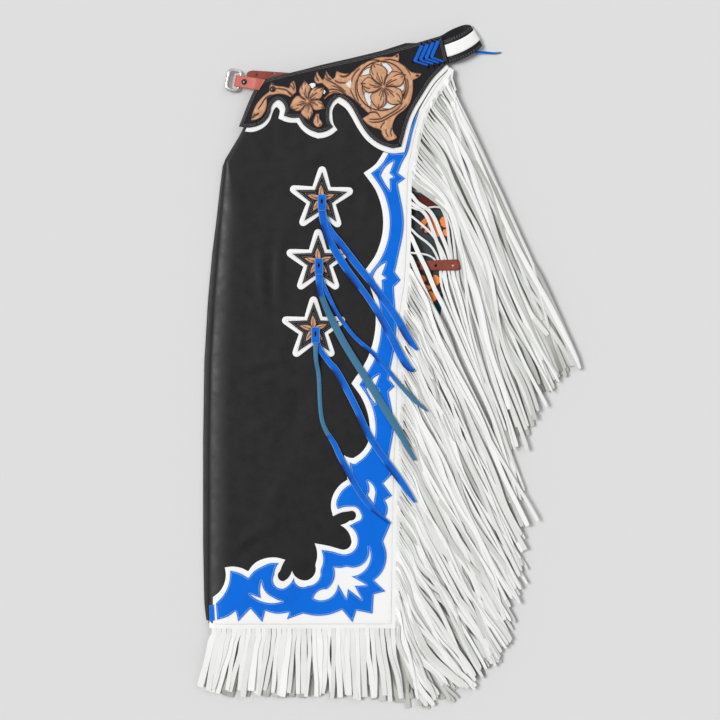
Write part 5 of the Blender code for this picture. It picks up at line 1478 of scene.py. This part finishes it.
def strapLine():
    # the strap's path round the ring's bar, its corners eased
    path = [Vector(place) for place in strap["path"]]
    line = []
    for here, after in zip(path, path[1:]):
        steps = max(1, round((after - here).length / 2.0))
        line += [here.lerp(after, step / steps) for step in range(steps)]
    line.append(path[-1])
    for _ in range(2):
        line = [line[0]] + [(a + b * 2 + c) / 4 for a, b, c in zip(line, line[1:], line[2:])] + [line[-1]]
    return line


def makeStrap():
    line = strapLine()
    points, rim = [], []
    thick, half = strap["thick"] / 2, strap["width"] / 2
    for i, (x, z) in enumerate(line):
        along = (line[min(i + 1, len(line) - 1)] - line[max(i - 1, 0)]).normalized()
        out = Vector((along.y, -along.x))
        slant = strap["slant"] * max(0.0, 1 - i / 3.0)
        for face, shares in ((-thick, strapShares), (thick, strapShares[::-1])):
            for share in shares:
                soft = face * strapSoft.get(abs(share), 1.0)
                points.append(inStrapFrame(x + slant * share + out.x * soft, half * share, z + out.y * soft))
                rim.append(1.0 if abs(share) == 1 or i == 0 else 0.2)
    bundle = Bundle(points, loftFaces(len(line), len(strapShares) * 2), rim=rim)
    makePiece("frontStrap", bundle, "nearStrap", replaces=["strap_front"])


def makeRing():
    sides, quarter = 20, 12
    reach, tall, corner, bar = (ringPlan[key] for key in ("barToLeft", "halfHeight", "corner", "barRadius"))
    left, low = corner - reach, corner - tall
    path = []
    for centreX, centreY, first in ((-corner, -low, 0), (left, -low, 90), (left, low, 180), (-corner, low, 270)):
        for step in range(quarter + 1):
            angle = radians(first + 90 * step / quarter)
            x, y = centreX + corner * cos(angle), centreY + corner * sin(angle)
            share = -x / reach
            path.append((x, y, bar + share * (ringPlan["leftHalf"] - bar), bar + share * (ringPlan["depth"] - bar)))
    points, paintedRingReflection = [], []
    for i, (x, y, wide, deep) in enumerate(path):
        before, after = Vector(path[i - 1][:2]), Vector(path[(i + 1) % len(path)][:2])
        along = (after - before).normalized()
        for k in range(sides):
            angle = 2 * pi * k / sides
            out = wide * cos(angle)
            points.append(inStrapFrame(x + along.y * out, y - along.x * out, barAt["z"] + deep * sin(angle)))
            # painted reflection: each round of the wire is darkened towards its sides, as a dark reflection in the
            # polish
            paintedRingReflection.append(ease(abs(cos(angle)), 0.5, 0.9))
    faces = []
    for i in range(len(path)):
        j = (i + 1) % len(path)
        for k in range(sides):
            m = (k + 1) % sides
            faces.append((i * sides + k, i * sides + m, j * sides + m, j * sides + k))
    bundle = Bundle(points, faces, rim=paintedRingReflection)
    makePiece("buckleRing", bundle, "silver", body="ring", replaces=["buckle_ring"])


# A rivet's head: rounds and points, where its arc starts and how far it goes, and the fine step at its foot.
dome = dict(rows=9, count=32, start=4, arc=84, inset=0.97, foot=0.12, rise=0.88)


def makeDome(name, node, radius, height, centre, lean):
    # lean tilts it along the strap
    rows, count = dome["rows"], dome["count"]
    turn = radians(strap["turn"])
    points = []
    for row in range(rows + 1):
        if row == 0:
            r, z = radius, 0.0
        else:
            angle = radians(dome["start"] + dome["arc"] * (row - 1) / (rows - 1))
            r = radius * dome["inset"] * cos(angle)
            z = height * (dome["foot"] + dome["rise"] * sin(angle))
        for k in range(count):
            a = 2 * pi * k / count
            x, y = r * cos(a), r * sin(a)
            x, z2 = x * cos(lean) + z * sin(lean), -x * sin(lean) + z * cos(lean)
            side, up = x * cos(turn) - y * sin(turn), x * sin(turn) + y * cos(turn)
            points.append((centre[0] + side, centre[1] + up, centre[2] + z2))
    bundle = Bundle(points, loftFaces(rows + 1, count))
    makePiece(name, bundle, "blackMetal", crease=40, replaces=[node])


def throughStrap(depth):
    # the place that far out from the strap's middle where the rivet goes through
    slope = radians(strap["slope"])
    middle = rivet["startZ"] + (rivet["x"] - 2.0) * tan(slope)
    return inStrapFrame(rivet["x"] - depth * sin(slope), 0, middle + depth * cos(slope))


makeStrap()
makeRing()
slope = radians(strap["slope"])
liftOut = strap["thick"] / 2 + 0.3
makeDome("rivetHead", "rivet_dome", rivet["radius"], rivet["height"], throughStrap(liftOut), -slope)
washerAt = throughStrap(-(liftOut + strap["thick"] + 0.4))
makeDome("rivetWasher", "rivet_washer", rivet["radius"] * rivet["washer"], rivet["washerHigh"], washerAt,
         pi - slope)
smallAt = (yokeRivet["x"], yokeRivet["y"], legTop(yokeRivet["x"]) + levels["tooled"][1] + 0.3 - panelTop)
makeDome("yokeRivetHead", "rivet_yoke", yokeRivet["radius"], yokeRivet["height"], smallAt, 0.0)
print("strap ready")


def farPiece(name, node, low, top, finish, step=3.0, rounding=0.4, relief=None):
    # a sheet of the far leg, at heights from the floor
    bundle = cutSheet(cadLoops(node), top, top(-1e3, 0) - low, step, 1.6, rounding, relief)
    makePiece(name, bundle, finish, replaces=[node])


# What shows of the far leg: its strap, and the flap with its straps behind the fringe.
farStrap = dict(top=6.2, thick=2.2, sag=7.0)
farLoops = cadLoops("strap_far")
for loop in farLoops:
    for place in loop:
        place.y -= farStrap["sag"] * ease(place.x, -186, -150) * ease(place.y, 462, 482)
farStrapShape = cutSheet(farLoops, lambda x, y: farStrap["top"], farStrap["thick"], 3.0, 1.6, 0.4)
makePiece("farStrap", farStrapShape, "farStrap", replaces=["strap_far"])

farPiece("thighFlap", "flap", 0.0, lambda x, y: 1.6, "suede", 4.0, 0.4,
         lambda x, y, far: (0.0, ease(112 - y, 0, 8)))
farPiece("thighStrap", "strap_thigh", 1.9, lambda x, y: 3.7, "thighStrap")
# the leg strap's free end lies over a few strands of the fringe
farPiece("legStrap", "strap_leg", 1.9, lambda x, y: 3.7 + 2.3 * ease(x, 42, 76), "legStrap")

keeperMarks = dict(
    # painted marks: x, y, half width, half height, degrees round
    upper=((72, 226, 6.5, 20.0, 24), (57, 232, 4.0, 10.0, -24), (88, 232, 7.0, 8.5, 20), (93, 215, 7.5, 5.5, 10),
              (61, 219, 5.0, 3.0, 40)),
    lower=((53, 137, 5.0, 7.0, 60), (59, 122, 8.0, 7.0, 30), (76, 136, 7.5, 8.5, 10), (70, 108, 6.5, 8.5, 20),
              (80, 110, 3.0, 8.0, 8)),
)
markWarp = dict(reach=4.0, scale=0.14)
markPaint = dict(round=1.6, raised=0.12)


def keeperRelief(marks):
    def warp(x, y, layer):
        return worn(x, y, markWarp["reach"], markWarp["scale"], layer)

    def relief(x, y, far):
        x += warp(x, y, 4.0)
        y += warp(x, y, 14.0)
        for markX, markY, wide, tall, turn in marks:
            dx, dy = x - markX, y - markY
            a = radians(turn)
            u = (dx * cos(a) + dy * sin(a)) / wide
            v = (-dx * sin(a) + dy * cos(a)) / tall
            if abs(u) ** markPaint["round"] + abs(v) ** markPaint["round"] < 1.0:
                return markPaint["raised"], 1.0
        return 0.0, 0.0

    return relief


for side, marks in keeperMarks.items():
    farPiece(f"{side}Keeper", f"keeper_{side}", 1.9, lambda x, y: 3.1, "keeper", 1.4, 0.3, keeperRelief(marks))

thongEnd = dict(
    width=4.4, thin=1.2, crown=0.2, paintFrom=0.45,
    rows=((139, 512.5, 6.8, 0, 1.0), (150, 512.8, 5.6, 14, 1.0), (163, 512.0, 3.2, 24, 0.9),
             (174, 511.5, 2.4, 10, 0.75), (184, 512.8, 2.2, 0, 0.4)),
)
makeThong("beltThongEnd", "thong_end", thongEnd["rows"], thongEnd["width"], thongEnd["thin"], 2.0, thongEnd["crown"],
          lambda i, count: min(1.0, max(0.0, i / count - thongEnd["paintFrom"]) * 2.0), 50)
print("far side ready")


# The strip that the strands are cut from, and what each strand is drawn from at random.
fringe = dict(
    gap=0.4, strip=7.0, thin=1.0, step=12.0, rootRun=10.0,
    # slitChance and slit: how often, and how far out from its root, a strand is darkened: painted shade in the slits
    # between strands
    shortChance=0.14, short=(0.74, 0.93), slitChance=0.62, slit=(0.6, 1.5), pinchChance=0.8,
    pinch=(0.3, 1.0), pinchAt=(12, 32), pinchLong=17, spacing=(0.9, 1.1), waves=(0.8, 0.34, 0.1),
)
sideSeam = ((99.5, 486), (59, 428), (45.5, 393.5), (35, 347.5), (29, 304.5), (27, 202), (23, 128), (16.5, 86.5),
            (12.5, 20.5), (10, -95), (6, -177.5), (3.5, -293), (2.5, -392), (2, -430.6))
hemSeam = ((9.2, -431), (-60, -431), (-150, -431), (-240, -431), (-264, -431), (-285, -431), (-298, -431))
Guide = namedtuple("Guide", "root kneeX kneeY tipX tipY bulge")
sideGuides = [Guide(*row) for row in (
    (486, 112, 430, 312, -7, 0), (452, 113, 376, 293, -14, 2), (420, 108, 328, 273, -30, 3),
    (390, 109, 287, 256, -58, 4), (362, 112, 250, 240, -86, 5), (340, 114, 218, 226, -112, 10),
    (322, 117, 188, 213, -138, 17), (298, 119, 166, 205, -160, 25), (240, 72, 150, 227, -220, 4),
    (190, 74, 105, 222, -238, 3), (165, 82, 66, 220, -250, 3), (145, 75, 52, 217, -266, 3),
    (120, 64, 42, 215, -292, 3), (54, 58, -21, 212, -348, 3), (-29, 56, -111, 204, -398, 3),
    (-111, 58, -194, 193, -442, 3), (-194, 56, -276, 182, -480, 3), (-276, 50, -351, 155, -511, 3),
    (-350, 40, -425, 119, -540, 2), (-400, 26, -460, 78, -556, 1), (-424, 15, -470, 45, -557, 0),
)]
hemGuides = [Guide(*row) for row in (
    (3, 8, -480, 24, -556, 0), (-50, -50, -480, -44, -552, 0), (-132, -132, -480, -133, -548, 0),
    (-165, -168, -480, -176, -549, 0), (-201, -206, -480, -214, -548, 0), (-240, -247, -480, -262, -547, 0),
    (-264, -272, -480, -290, -544, 0), (-298, -305, -480, -313, -536, 0),
)]
openFrom, openTo = 158, 298
outerEdge = ((104, 500), (110, 474), (113, 436), (127, 408), (148, 364), (173, 309), (217, 210), (259, 120), (318, -12))
outerXs, outerYs = zip(*reversed(outerEdge))
# How every layer hangs unless its own dictionary says otherwise, first down the side and then along the hem.
sideHang = dict(
    bySide=True, seam=sideSeam, guides=sideGuides, strip=None, finish="fringe", lean=0.0, deep=0.0,
    wave=1.0, tone=0.0, pinch=0.0, taper=(0.05, 0.4), crown=(-0.6, 1.0), nodes=(), curve=150,
    turnBy=120, lively=16, blends=(1.0, 0.45),
)
hemHang = dict(
    sideHang, bySide=False, seam=hemSeam, guides=hemGuides, clump=1.2, rootRoll=(0, 8),
    taper=(0.0, 0.1), crown=(-0.2, 0.2), curve=90, turnBy=60, lively=5, blends=(1.0, 0.96, 0.8),
)
fringePlans = (
    # pitch and width of the strands, heights at the knee and tip, how far they stray, and how grey they are; a lower
    # layer's extra grey (tone) and dark roots (deep) are painted shade
    dict(sideHang, name="sideFringeTop", seed=3, pitch=7.6, width=(4.6, 9.2), kneeZ=13.2, tipZ=8.6,
         strip=(2.8, 4.0), clump=12.0, own=8.0, ragged=18.0, rootRoll=(6, 52), roll=(-14, 22),
         order=(-2.0, 2.6), grey=1.0, tone=0.02, pinch=0.72,
         nodes=["side_fringe_upper", "side_fringe_lower"]),
    dict(sideHang, name="sideFringeMiddle", seed=8, pitch=8.2, width=(4.8, 8.2), kneeZ=9.6, tipZ=5.4,
         clump=8.0, own=6.0, ragged=20.0, rootRoll=(10, 40), roll=(-14, 26), order=(-1.2, 1.6),
         finish="fringeShaded", lean=-7.0, deep=46.0, grey=0.5, tone=0.24, pinch=0.35),
    dict(sideHang, name="sideFringeUnder", seed=11, pitch=9.2, width=(8.0, 9.4), kneeZ=6.0, tipZ=2.2,
         strip=(1.0, 2.2), clump=3.0, own=3.0, ragged=14.0, rootRoll=(0, 12), roll=(-8, 12),
         order=(-0.5, 0.5), finish="fringeShaded", lean=-19.0, deep=60.0, grey=0.3, wave=0.8, tone=0.42,
         nodes=["side_fringe_under_upper", "side_fringe_under_lower"]),
    dict(sideHang, name="sideFringeLoose", seed=19, pitch=23.0, width=(3.6, 6.8), kneeZ=15.0, tipZ=9.6,
         clump=5.0, own=17.0, ragged=26.0, rootRoll=(10, 40), roll=(-25, 30), order=(-0.5, 2.0),
         grey=0.35, wave=0.8, pinch=0.4, taper=(0.1, 0.5)),
    dict(hemHang, name="hemFringeTop", seed=23, pitch=8.2, width=(6.4, 13.0), kneeZ=12.4, tipZ=7.0,
         strip=(2.8, 4.0), own=5.0, ragged=7.0, roll=(-6, 12), order=(-1.8, 2.4), grey=0.45,
         wave=0.12, nodes=["hem_fringe"]),
    dict(hemHang, name="hemFringeUnder", seed=31, pitch=8.2, width=(9.6, 11.4), kneeZ=7.4, tipZ=2.6,
         strip=(1.0, 2.2), own=4.0, ragged=9.0, roll=(-6, 8), order=(-0.4, 0.6), finish="fringeShaded",
         deep=20.0, grey=0.3, wave=0.2, tone=0.42, nodes=["hem_fringe_under"]),
)
Strand = namedtuple("Strand", "width tone points")
# the few strands across the opening over the flap: x, y, height of each place they pass
gapStrands = (
    Strand(6.4, 0.0, (
        (34, 279, 12.4), (46, 263, 12.0), (63, 252, 9.8), (74, 237, 7.6), (83, 215, 5.6), (94, 189, 3.6),
        (101, 164, 3.1), (106, 140, 3.4), (118, 100, 5.0),
    )),
    Strand(6.0, 0.05, (
        (33, 264, 12.4), (45, 256, 11.6), (59, 244, 9.2), (69, 222, 7.0), (76, 204, 5.2), (84, 180, 3.4),
        (89, 160, 3.1), (92, 138, 3.4), (100, 104, 5.4),
    )),
    Strand(3.2, 0.1, (
        (33, 257, 12.4), (50, 251, 11.4), (66, 256, 9.8), (82, 256, 8.4), (92, 247, 7.0), (100, 228, 5.8),
        (105, 205, 4.4), (108, 180, 3.3), (111, 160, 2.9), (116, 130, 3.4), (130, 90, 5.0),
    )),
    Strand(3.8, 0.1, (
        (33, 243, 12.4), (48, 231, 11.0), (63, 218, 8.2), (76, 203, 6.0), (87, 184, 3.8), (95, 162, 3.1),
        (99, 140, 3.4), (110, 102, 5.0),
    )),
    Strand(4.0, 0.15, (
        (33, 222, 12.4), (46, 209, 11.2), (60, 199, 8.6), (71, 188, 6.2), (79, 172, 3.7), (83, 158, 3.1),
        (84, 138, 3.6), (92, 106, 5.4),
    )),
    Strand(7.4, 0.0, (
        (33, 212, 12.4), (40, 196, 12.6), (48, 178, 11.8), (61, 152, 10.4), (74, 120, 9.8), (92, 84, 10.0),
    )),
    Strand(3.0, 0.1, (
        (33, 181, 12.2), (44, 180, 11.8), (60, 178, 9.4), (72, 172, 6.4), (80, 162, 3.3), (86, 146, 3.2),
        (96, 112, 5.0),
    )),
    Strand(7.8, 0.0, (
        (32, 178, 12.4), (42, 154, 12.6), (52, 130, 12.2), (64, 104, 11.6), (80, 70, 11.0),
    )),
    # these three lie low under the strap and are greyer: painted shade
    Strand(5.0, 0.35, (
        (36, 306, 11.8), (60, 288, 9.4), (84, 272, 7.0), (99, 248, 4.8), (104, 214, 3.2), (107, 187, 2.8),
        (110, 160, 2.8), (115, 128, 3.2), (128, 84, 4.6),
    )),
    Strand(5.6, 0.45, (
        (36, 300, 11.6), (58, 284, 8.8), (78, 266, 6.2), (92, 240, 4.2), (98, 200, 3.0), (101, 180, 2.9),
        (103, 160, 2.9), (105, 136, 3.2), (114, 98, 4.6),
    )),
    Strand(6.0, 0.5, (
        (36, 308, 11.4), (64, 292, 8.6), (92, 272, 6.0), (108, 244, 3.8), (112, 212, 2.2), (115, 184, 1.6),
        (118, 160, 1.6), (124, 128, 2.4), (138, 84, 4.0),
    )),
)


def betweenGuides(guides, root):
    for first, second in zip(guides, guides[1:]):
        if root >= second.root:
            break
    share = min(max((first.root - root) / (first.root - second.root), 0.0), 1.0)
    return [first[i] + (second[i] - first[i]) * share for i in (1, 2, 3, 4, 5)]


def placeOn(line, reached, distance, reach=9.0):
    def spot(d):
        d = min(max(d, 0.0), reached[-1])
        i = max(min(int(np.searchsorted(reached, d)), len(line) - 1), 1)
        share = (d - reached[i - 1]) / max(reached[i] - reached[i - 1], 1e-6)
        return line[i - 1].lerp(line[i], share)

    return spot(distance), (spot(distance + reach) - spot(distance - reach)).normalized()


def addStrand(bundle, rows, rootAcross, rootWidth, tones, curl=0.3, blends=(1.0, 0.35)):
    # rows: x, y, z, roll, width; the first ring lies along the strip it is cut from
    points, rims = [], []
    for i, (x, y, z, roll, width) in enumerate(rows):
        before, after = rows[max(i - 1, 0)], rows[min(i + 1, len(rows) - 1)]
        along = (Vector(after[:3]) - Vector(before[:3])).normalized()
        level = Vector((-along.y, along.x, 0)).normalized()
        blend = blends[i] if i < len(blends) else 0.0
        turn = radians(roll) * (1 - blend)
        across = level * cos(turn) + Vector((0, 0, 1)) * sin(turn)
        if blend:
            side = rootAcross if rootAcross.dot(level) > 0 else -rootAcross
            across = (across * (1 - blend) + side * blend).normalized()
            width = width * (1 - blend) + rootWidth * blend
        up = along.cross(across).normalized()
        if up.z < 0:
            up.negate()
        thin = fringe["thin"] if width > 4.5 else fringe["thin"] * 0.8
        middle = Vector((x, y, z))
        for side, rise, rim in strandSection:
            crown = curl * thin * 0.8 * (1 - side * side)
            points.append(middle + across * width / 2 * side + up * (rise * thin + crown))
            rims.append(rim)
    count = len(strandSection)
    bundle.add(points, loftFaces(len(rows), count), rim=rims, stain=[tone for tone in tones for _ in range(count)])


def rootsAlong(plan, reached, draw):
    # where the strands are cut along the seam
    marks = []
    distance = plan["pitch"] * 0.55
    while distance < reached[-1] - plan["pitch"] * 0.4:
        marks.append(distance)
        distance += plan["pitch"] * draw.uniform(*fringe["spacing"])
    return marks


def hangStrand(bundle, plan, draw, cut, low, high):
    # one strand: out from the strip, over the knee of the fringe, and down to its tip
    root, along, distance = cut
    bySide = plan["bySide"]
    out = Vector((-along.y, along.x))
    start = root + out * (fringe["gap"] + fringe["strip"] - 0.8)
    kneeX, kneeY, tipX, tipY, bulge = betweenGuides(plan["guides"], root.y if bySide else root.x)
    run = Vector((tipX - kneeX, tipY - kneeY)).normalized()
    side = Vector((-run.y, run.x))
    knee = Vector((kneeX, kneeY)) + side * low * 2.0
    ragged = plan["ragged"] * (0.5 if root.y > 400 else 1.0)
    tip = Vector((tipX, tipY)) + run * draw.uniform(-1.0, 0.8) * ragged
    tip += side * (plan["lean"] + high * plan["own"])
    if draw.random() < fringe["shortChance"]:
        tip = knee.lerp(tip, draw.uniform(*fringe["short"]))
    chord = (knee - start).normalized()
    first = start + (out * 0.5 + along * 0.85 if bySide else out) * fringe["rootRun"]
    middle = start.lerp(knee, 0.55) + Vector((-chord.y, chord.x)) * bulge
    path = flatCurve([start, first, middle, knee, knee.lerp(tip, 0.5), tip], fringe["step"])
    path[1:1] = [path[0].lerp(path[1], 0.5)]
    stripTop = legTop(root.x) - panelTop + (plan["strip"][1] if plan["strip"] else 3.0)
    width = draw.uniform(*plan["width"])
    phase = [draw.uniform(0, 2 * pi) for _ in range(4)]
    wave = [plan["own"] * plan["wave"] * draw.uniform(-1, 1) * k for k in fringe["waves"]]
    rootRoll, farRoll = draw.uniform(*plan["rootRoll"]), draw.uniform(*plan["roll"])
    order = draw.uniform(*plan["order"])
    chance = draw.random()
    tone = 0.1 * chance if chance < 0.34 else 0.25 + 0.5 * chance if chance < 0.74 else chance
    # painted shade: strands rooted on the upper half of the side, and along the hem, are greyer than those lower down
    # the side
    tone = plan["tone"] + tone * (plan["grey"] if root.y > 0 or not bySide else plan["grey"] * 0.75)
    # painted shade in the slits: a strand is darkened for a way out from its root
    slit = plan["deep"] * (draw.uniform(*fringe["slit"]) if draw.random() < fringe["slitChance"] else 0.25)
    calm = bySide and openTo - 5 < root.y < 350
    pinch = plan["pinch"] * (draw.uniform(*fringe["pinch"]) if draw.random() < fringe["pinchChance"] else 0.0)
    pinchAt = draw.uniform(*fringe["pinchAt"])
    rows, tones = [], []
    passed = lengthsAlong(path)
    total = passed[-1]
    kneeAt = (knee - start).length * 1.03
    for i, (place, gone) in enumerate(zip(path, passed)):
        t = gone / total
        grow = ease(gone, 14, plan["curve"])
        if calm:
            grow *= 0.15 + 0.85 * ease(gone, kneeAt, kneeAt + 120)
        clump = noise.noise(Vector((distance / 34, t * 2.4, plan["seed"]))) * plan["clump"] * 2.0
        stray = wave[0] * sin(2.4 * t + phase[0]) + wave[1] * sin(6.5 * t + phase[1])
        stray += wave[2] * sin(15.0 * t + phase[2])
        place = place + side * grow * (clump + stray)
        if bySide:
            place.x = min(place.x, float(np.interp(place.y, outerYs, outerXs)) - 3.0 * (1 + low))
        if gone < kneeAt:
            height = stripTop - 0.55 + (plan["kneeZ"] - stripTop + 0.55) * gone / kneeAt
        else:
            height = plan["kneeZ"] + (plan["tipZ"] - plan["kneeZ"]) * (gone - kneeAt) / max(total - kneeAt, 1)
        roll = rootRoll + (farRoll - rootRoll) * ease(gone, 20, plan["turnBy"])
        roll *= ease(gone, 0, 9)
        roll += plan["lively"] * grow * noise.noise(Vector((distance, t * 3.0, plan["seed"] + 5)))
        height += (order + 0.9 * sin(5.0 * t + phase[3])) * ease(gone, 40, 130)
        height += sin(radians(abs(roll))) * width * 0.25
        height = max(height, 0.7 + sin(radians(abs(roll))) * width / 2)
        share = 1.0 - (0.0 if i < len(path) - 1 else draw.uniform(*plan["taper"]))
        share *= 1 - pinch * exp(-(((gone - pinchAt) / fringe["pinchLong"]) ** 2))
        rows.append((place.x, place.y, height, roll, width * share * (1 + 0.05 * sin(9 * t + phase[1]))))
        # the painted shade near the root
        deep = exp(-((gone / slit) ** 2)) if slit else 0.0
        shadeShare = tone * (0.8 + 0.5 * noise.noise(Vector((distance, t * 4.0, 9.0))))
        tones.append(min(max(deep, shadeShare), 1.0))
    addStrand(bundle, rows, Vector((along.x, along.y, 0)), plan["pitch"] * 0.97, tones,
              draw.uniform(*plan["crown"]), plan["blends"])


def makeFringe(plan):
    draw = random.Random(plan["seed"])
    line = flatCurve(plan["seam"], 2.0)
    reached = lengthsAlong(line)
    bySide = plan["bySide"]
    bundle = Bundle()
    for distance in rootsAlong(plan, reached, draw):
        root, along = placeOn(line, reached, distance)
        low, high = draw.uniform(-1, 1), draw.uniform(-1, 1)
        if not bySide or not openFrom < root.y < openTo:
            hangStrand(bundle, plan, draw, (root, along, distance), low, high)
    if plan["strip"]:
        addStrip(bundle, line, reached, plan)
    return bundle


# Where the strands that hang across the opening end, and how much that varies.
gapEnds = dict(seed=41, tipX=214, strayX=(-16, 10), tipY=-205, strayY=(-36, 30), tipZ=7.5)


def addGapStrands(bundle):
    # the loose strands hanging across the flap end with the others
    draw = random.Random(gapEnds["seed"])
    for strand in gapStrands:
        lastX, lastY, lastZ = strand.points[-1]
        tipX = gapEnds["tipX"] + draw.uniform(*gapEnds["strayX"])
        tipY = gapEnds["tipY"] + draw.uniform(*gapEnds["strayY"])
        points = list(strand.points)
        for share in (0.33, 0.66, 1.0):
            points.append((lastX + (tipX - lastX) * share + draw.uniform(-5, 5),
                           lastY + (tipY - lastY) * share, lastZ + (gapEnds["tipZ"] - lastZ) * share))
        path = curveThrough(points, 9.0)
        phase, gone, rows = draw.uniform(0, 6), 0.0, []
        for i, (x, y, z) in enumerate(path):
            if i:
                gone += hypot(x - path[i - 1][0], y - path[i - 1][1])
            lying = ease(abs(y - 161), 14, 40)
            roll = (14 + 22 * sin(gone / 60 + phase)) * lying * ease(gone, 0, 12)
            width = strand.width * (0.55 if i == len(path) - 1 else 1.0)
            rows.append((x, y, z + abs(sin(radians(roll))) * width * 0.3, roll, width))
        addStrand(bundle, rows, Vector((0, -1, 0)), strand.width, [strand.tone] * len(rows))


stripPlan = dict(step=4.0, soft=0.25, beside=0.3)


def addStrip(bundle, line, reached, plan):
    low, high = plan["strip"]
    points = []
    count = int(reached[-1] / stripPlan["step"])
    for i in range(count + 1):
        spot, along = placeOn(line, reached, reached[-1] * i / count)
        out = Vector((-along.y, along.x))
        base = legTop(spot.x) - panelTop
        inner = spot + out * fringe["gap"]
        outer = inner + out * fringe["strip"]
        if low > 2:  # the upper strip comes close up to the border and the yoke's underlay
            beside = min(shape.rims.far(inner.x, inner.y) for shape in (whiteShape, yokeUnderShape))
            inner -= out * max(beside - stripPlan["beside"], 0.0)
        else:  # the lower one closes the slit from below
            inner -= out
        soft = stripPlan["soft"]
        section = ((inner, low), (outer, low), (outer, high - soft), (outer - out * soft, high),
                   (inner + out * soft, high), (inner, high - soft))
        points += [(place.x, place.y, base + z) for place, z in section]
    bundle.add(points, loftFaces(count + 1, 6))


for plan in fringePlans:
    bundle = makeFringe(plan)
    if plan["name"] == "sideFringeTop":
        addGapStrands(bundle)
    makePiece(plan["name"], bundle, plan["finish"], crease=14, replaces=plan["nodes"])
print("fringe ready", sum(len(made[plan["name"]].data.polygons) for plan in fringePlans))


# What is cloth, and the cuts it was made from.
sideLayers = ("sideFringeTop", "sideFringeMiddle", "sideFringeUnder", "sideFringeLoose")
onYoke = ("yokeStitches", "lacing1", "lacing2", "lacing3", "lacing4", "lacingHoles", "yokeRivetHead", "paleInlays")
sheets = [
    # piece, how it is held, what it lies on, what goes with it, the width and length of its cut in mm, and its area
    # in square m; a flat piece is measured from its outline, and a curved band needs only its length
    ("innerLayers", "folded", (), (), 399, 957, 0.297),
    ("nearLeg", "folded", ("innerLayers",), (), 384, 957, 0.286),
    ("whiteFlame", "laid", ("nearLeg",), ("hemFringeTop", "hemFringeUnder") + sideLayers, None, 1240),
    ("blueFlame", "laid", ("whiteFlame",), ("blueFlameStitches", "blueFlameEnd"), None, 1240),
    ("yokeUnderlay", "laid", ("nearLeg",)),
    ("yokePanel", "laid", ("yokeUnderlay",), onYoke),
    ("stemLeaf", "laid", ("yokePanel",)),
    ("tooledVine", "laid", ("yokePanel",), (), None, 420),
    ("tooledBud", "laid", ("yokePanel",)),
    ("flowerDisc", "laid", ("yokePanel",)),
    ("smallFlower", "laid", ("yokePanel",)),
    ("largeFlower", "laid", ("flowerDisc",)),
    ("backBelt", "folded", ("innerLayers",), ("beltStitches", "beltThongEnd"), 39, 172),
    ("beltOverlay", "laid", ("backBelt",), (), 20, 76),
    ("frontStrap", "folded", ("yokePanel",), ("rivetHead", "rivetWasher"), 19, 62),
    ("farStrap", "laid"),
    ("thighFlap", "laid"),
]
sheets += [(name, "laid", ("thighFlap",)) for name in ("thighStrap", "legStrap", "upperKeeper", "lowerKeeper")]
for number in (1, 2, 3):
    white, black = f"starWhite{number}", f"starBlack{number}"
    onFlower = (f"starKnot{number}", f"knotSlit{number}", f"tie{number}Right", f"tie{number}Left")
    sheets += [
        (white, "laid", ("nearLeg",), (f"starWhiteStitches{number}",)),
        (black, "laid", (white,), (f"starBlackStitches{number}",)),
        (f"starFlower{number}", "laid", (black,), onFlower),
    ]


def declareSheet(name, held, below=(), goes=(), width=None, length=None, flatArea=None):
    if width is None:
        outer, holes = outlines[name][0], outlines[name][1:]
        flatArea = (abs(area(outer)) - sum(abs(area(hole)) for hole in holes)) * mm * mm
        if length:
            width, flatArea = flatArea / (length * mm * mm), None
        else:
            xs, ys = [p[0] for p in outer], [p[1] for p in outer]
            width, length = max(xs) - min(xs), max(ys) - min(ys)


for row in sheets:
    declareSheet(*row)
print("cloth declared", len(sheets))
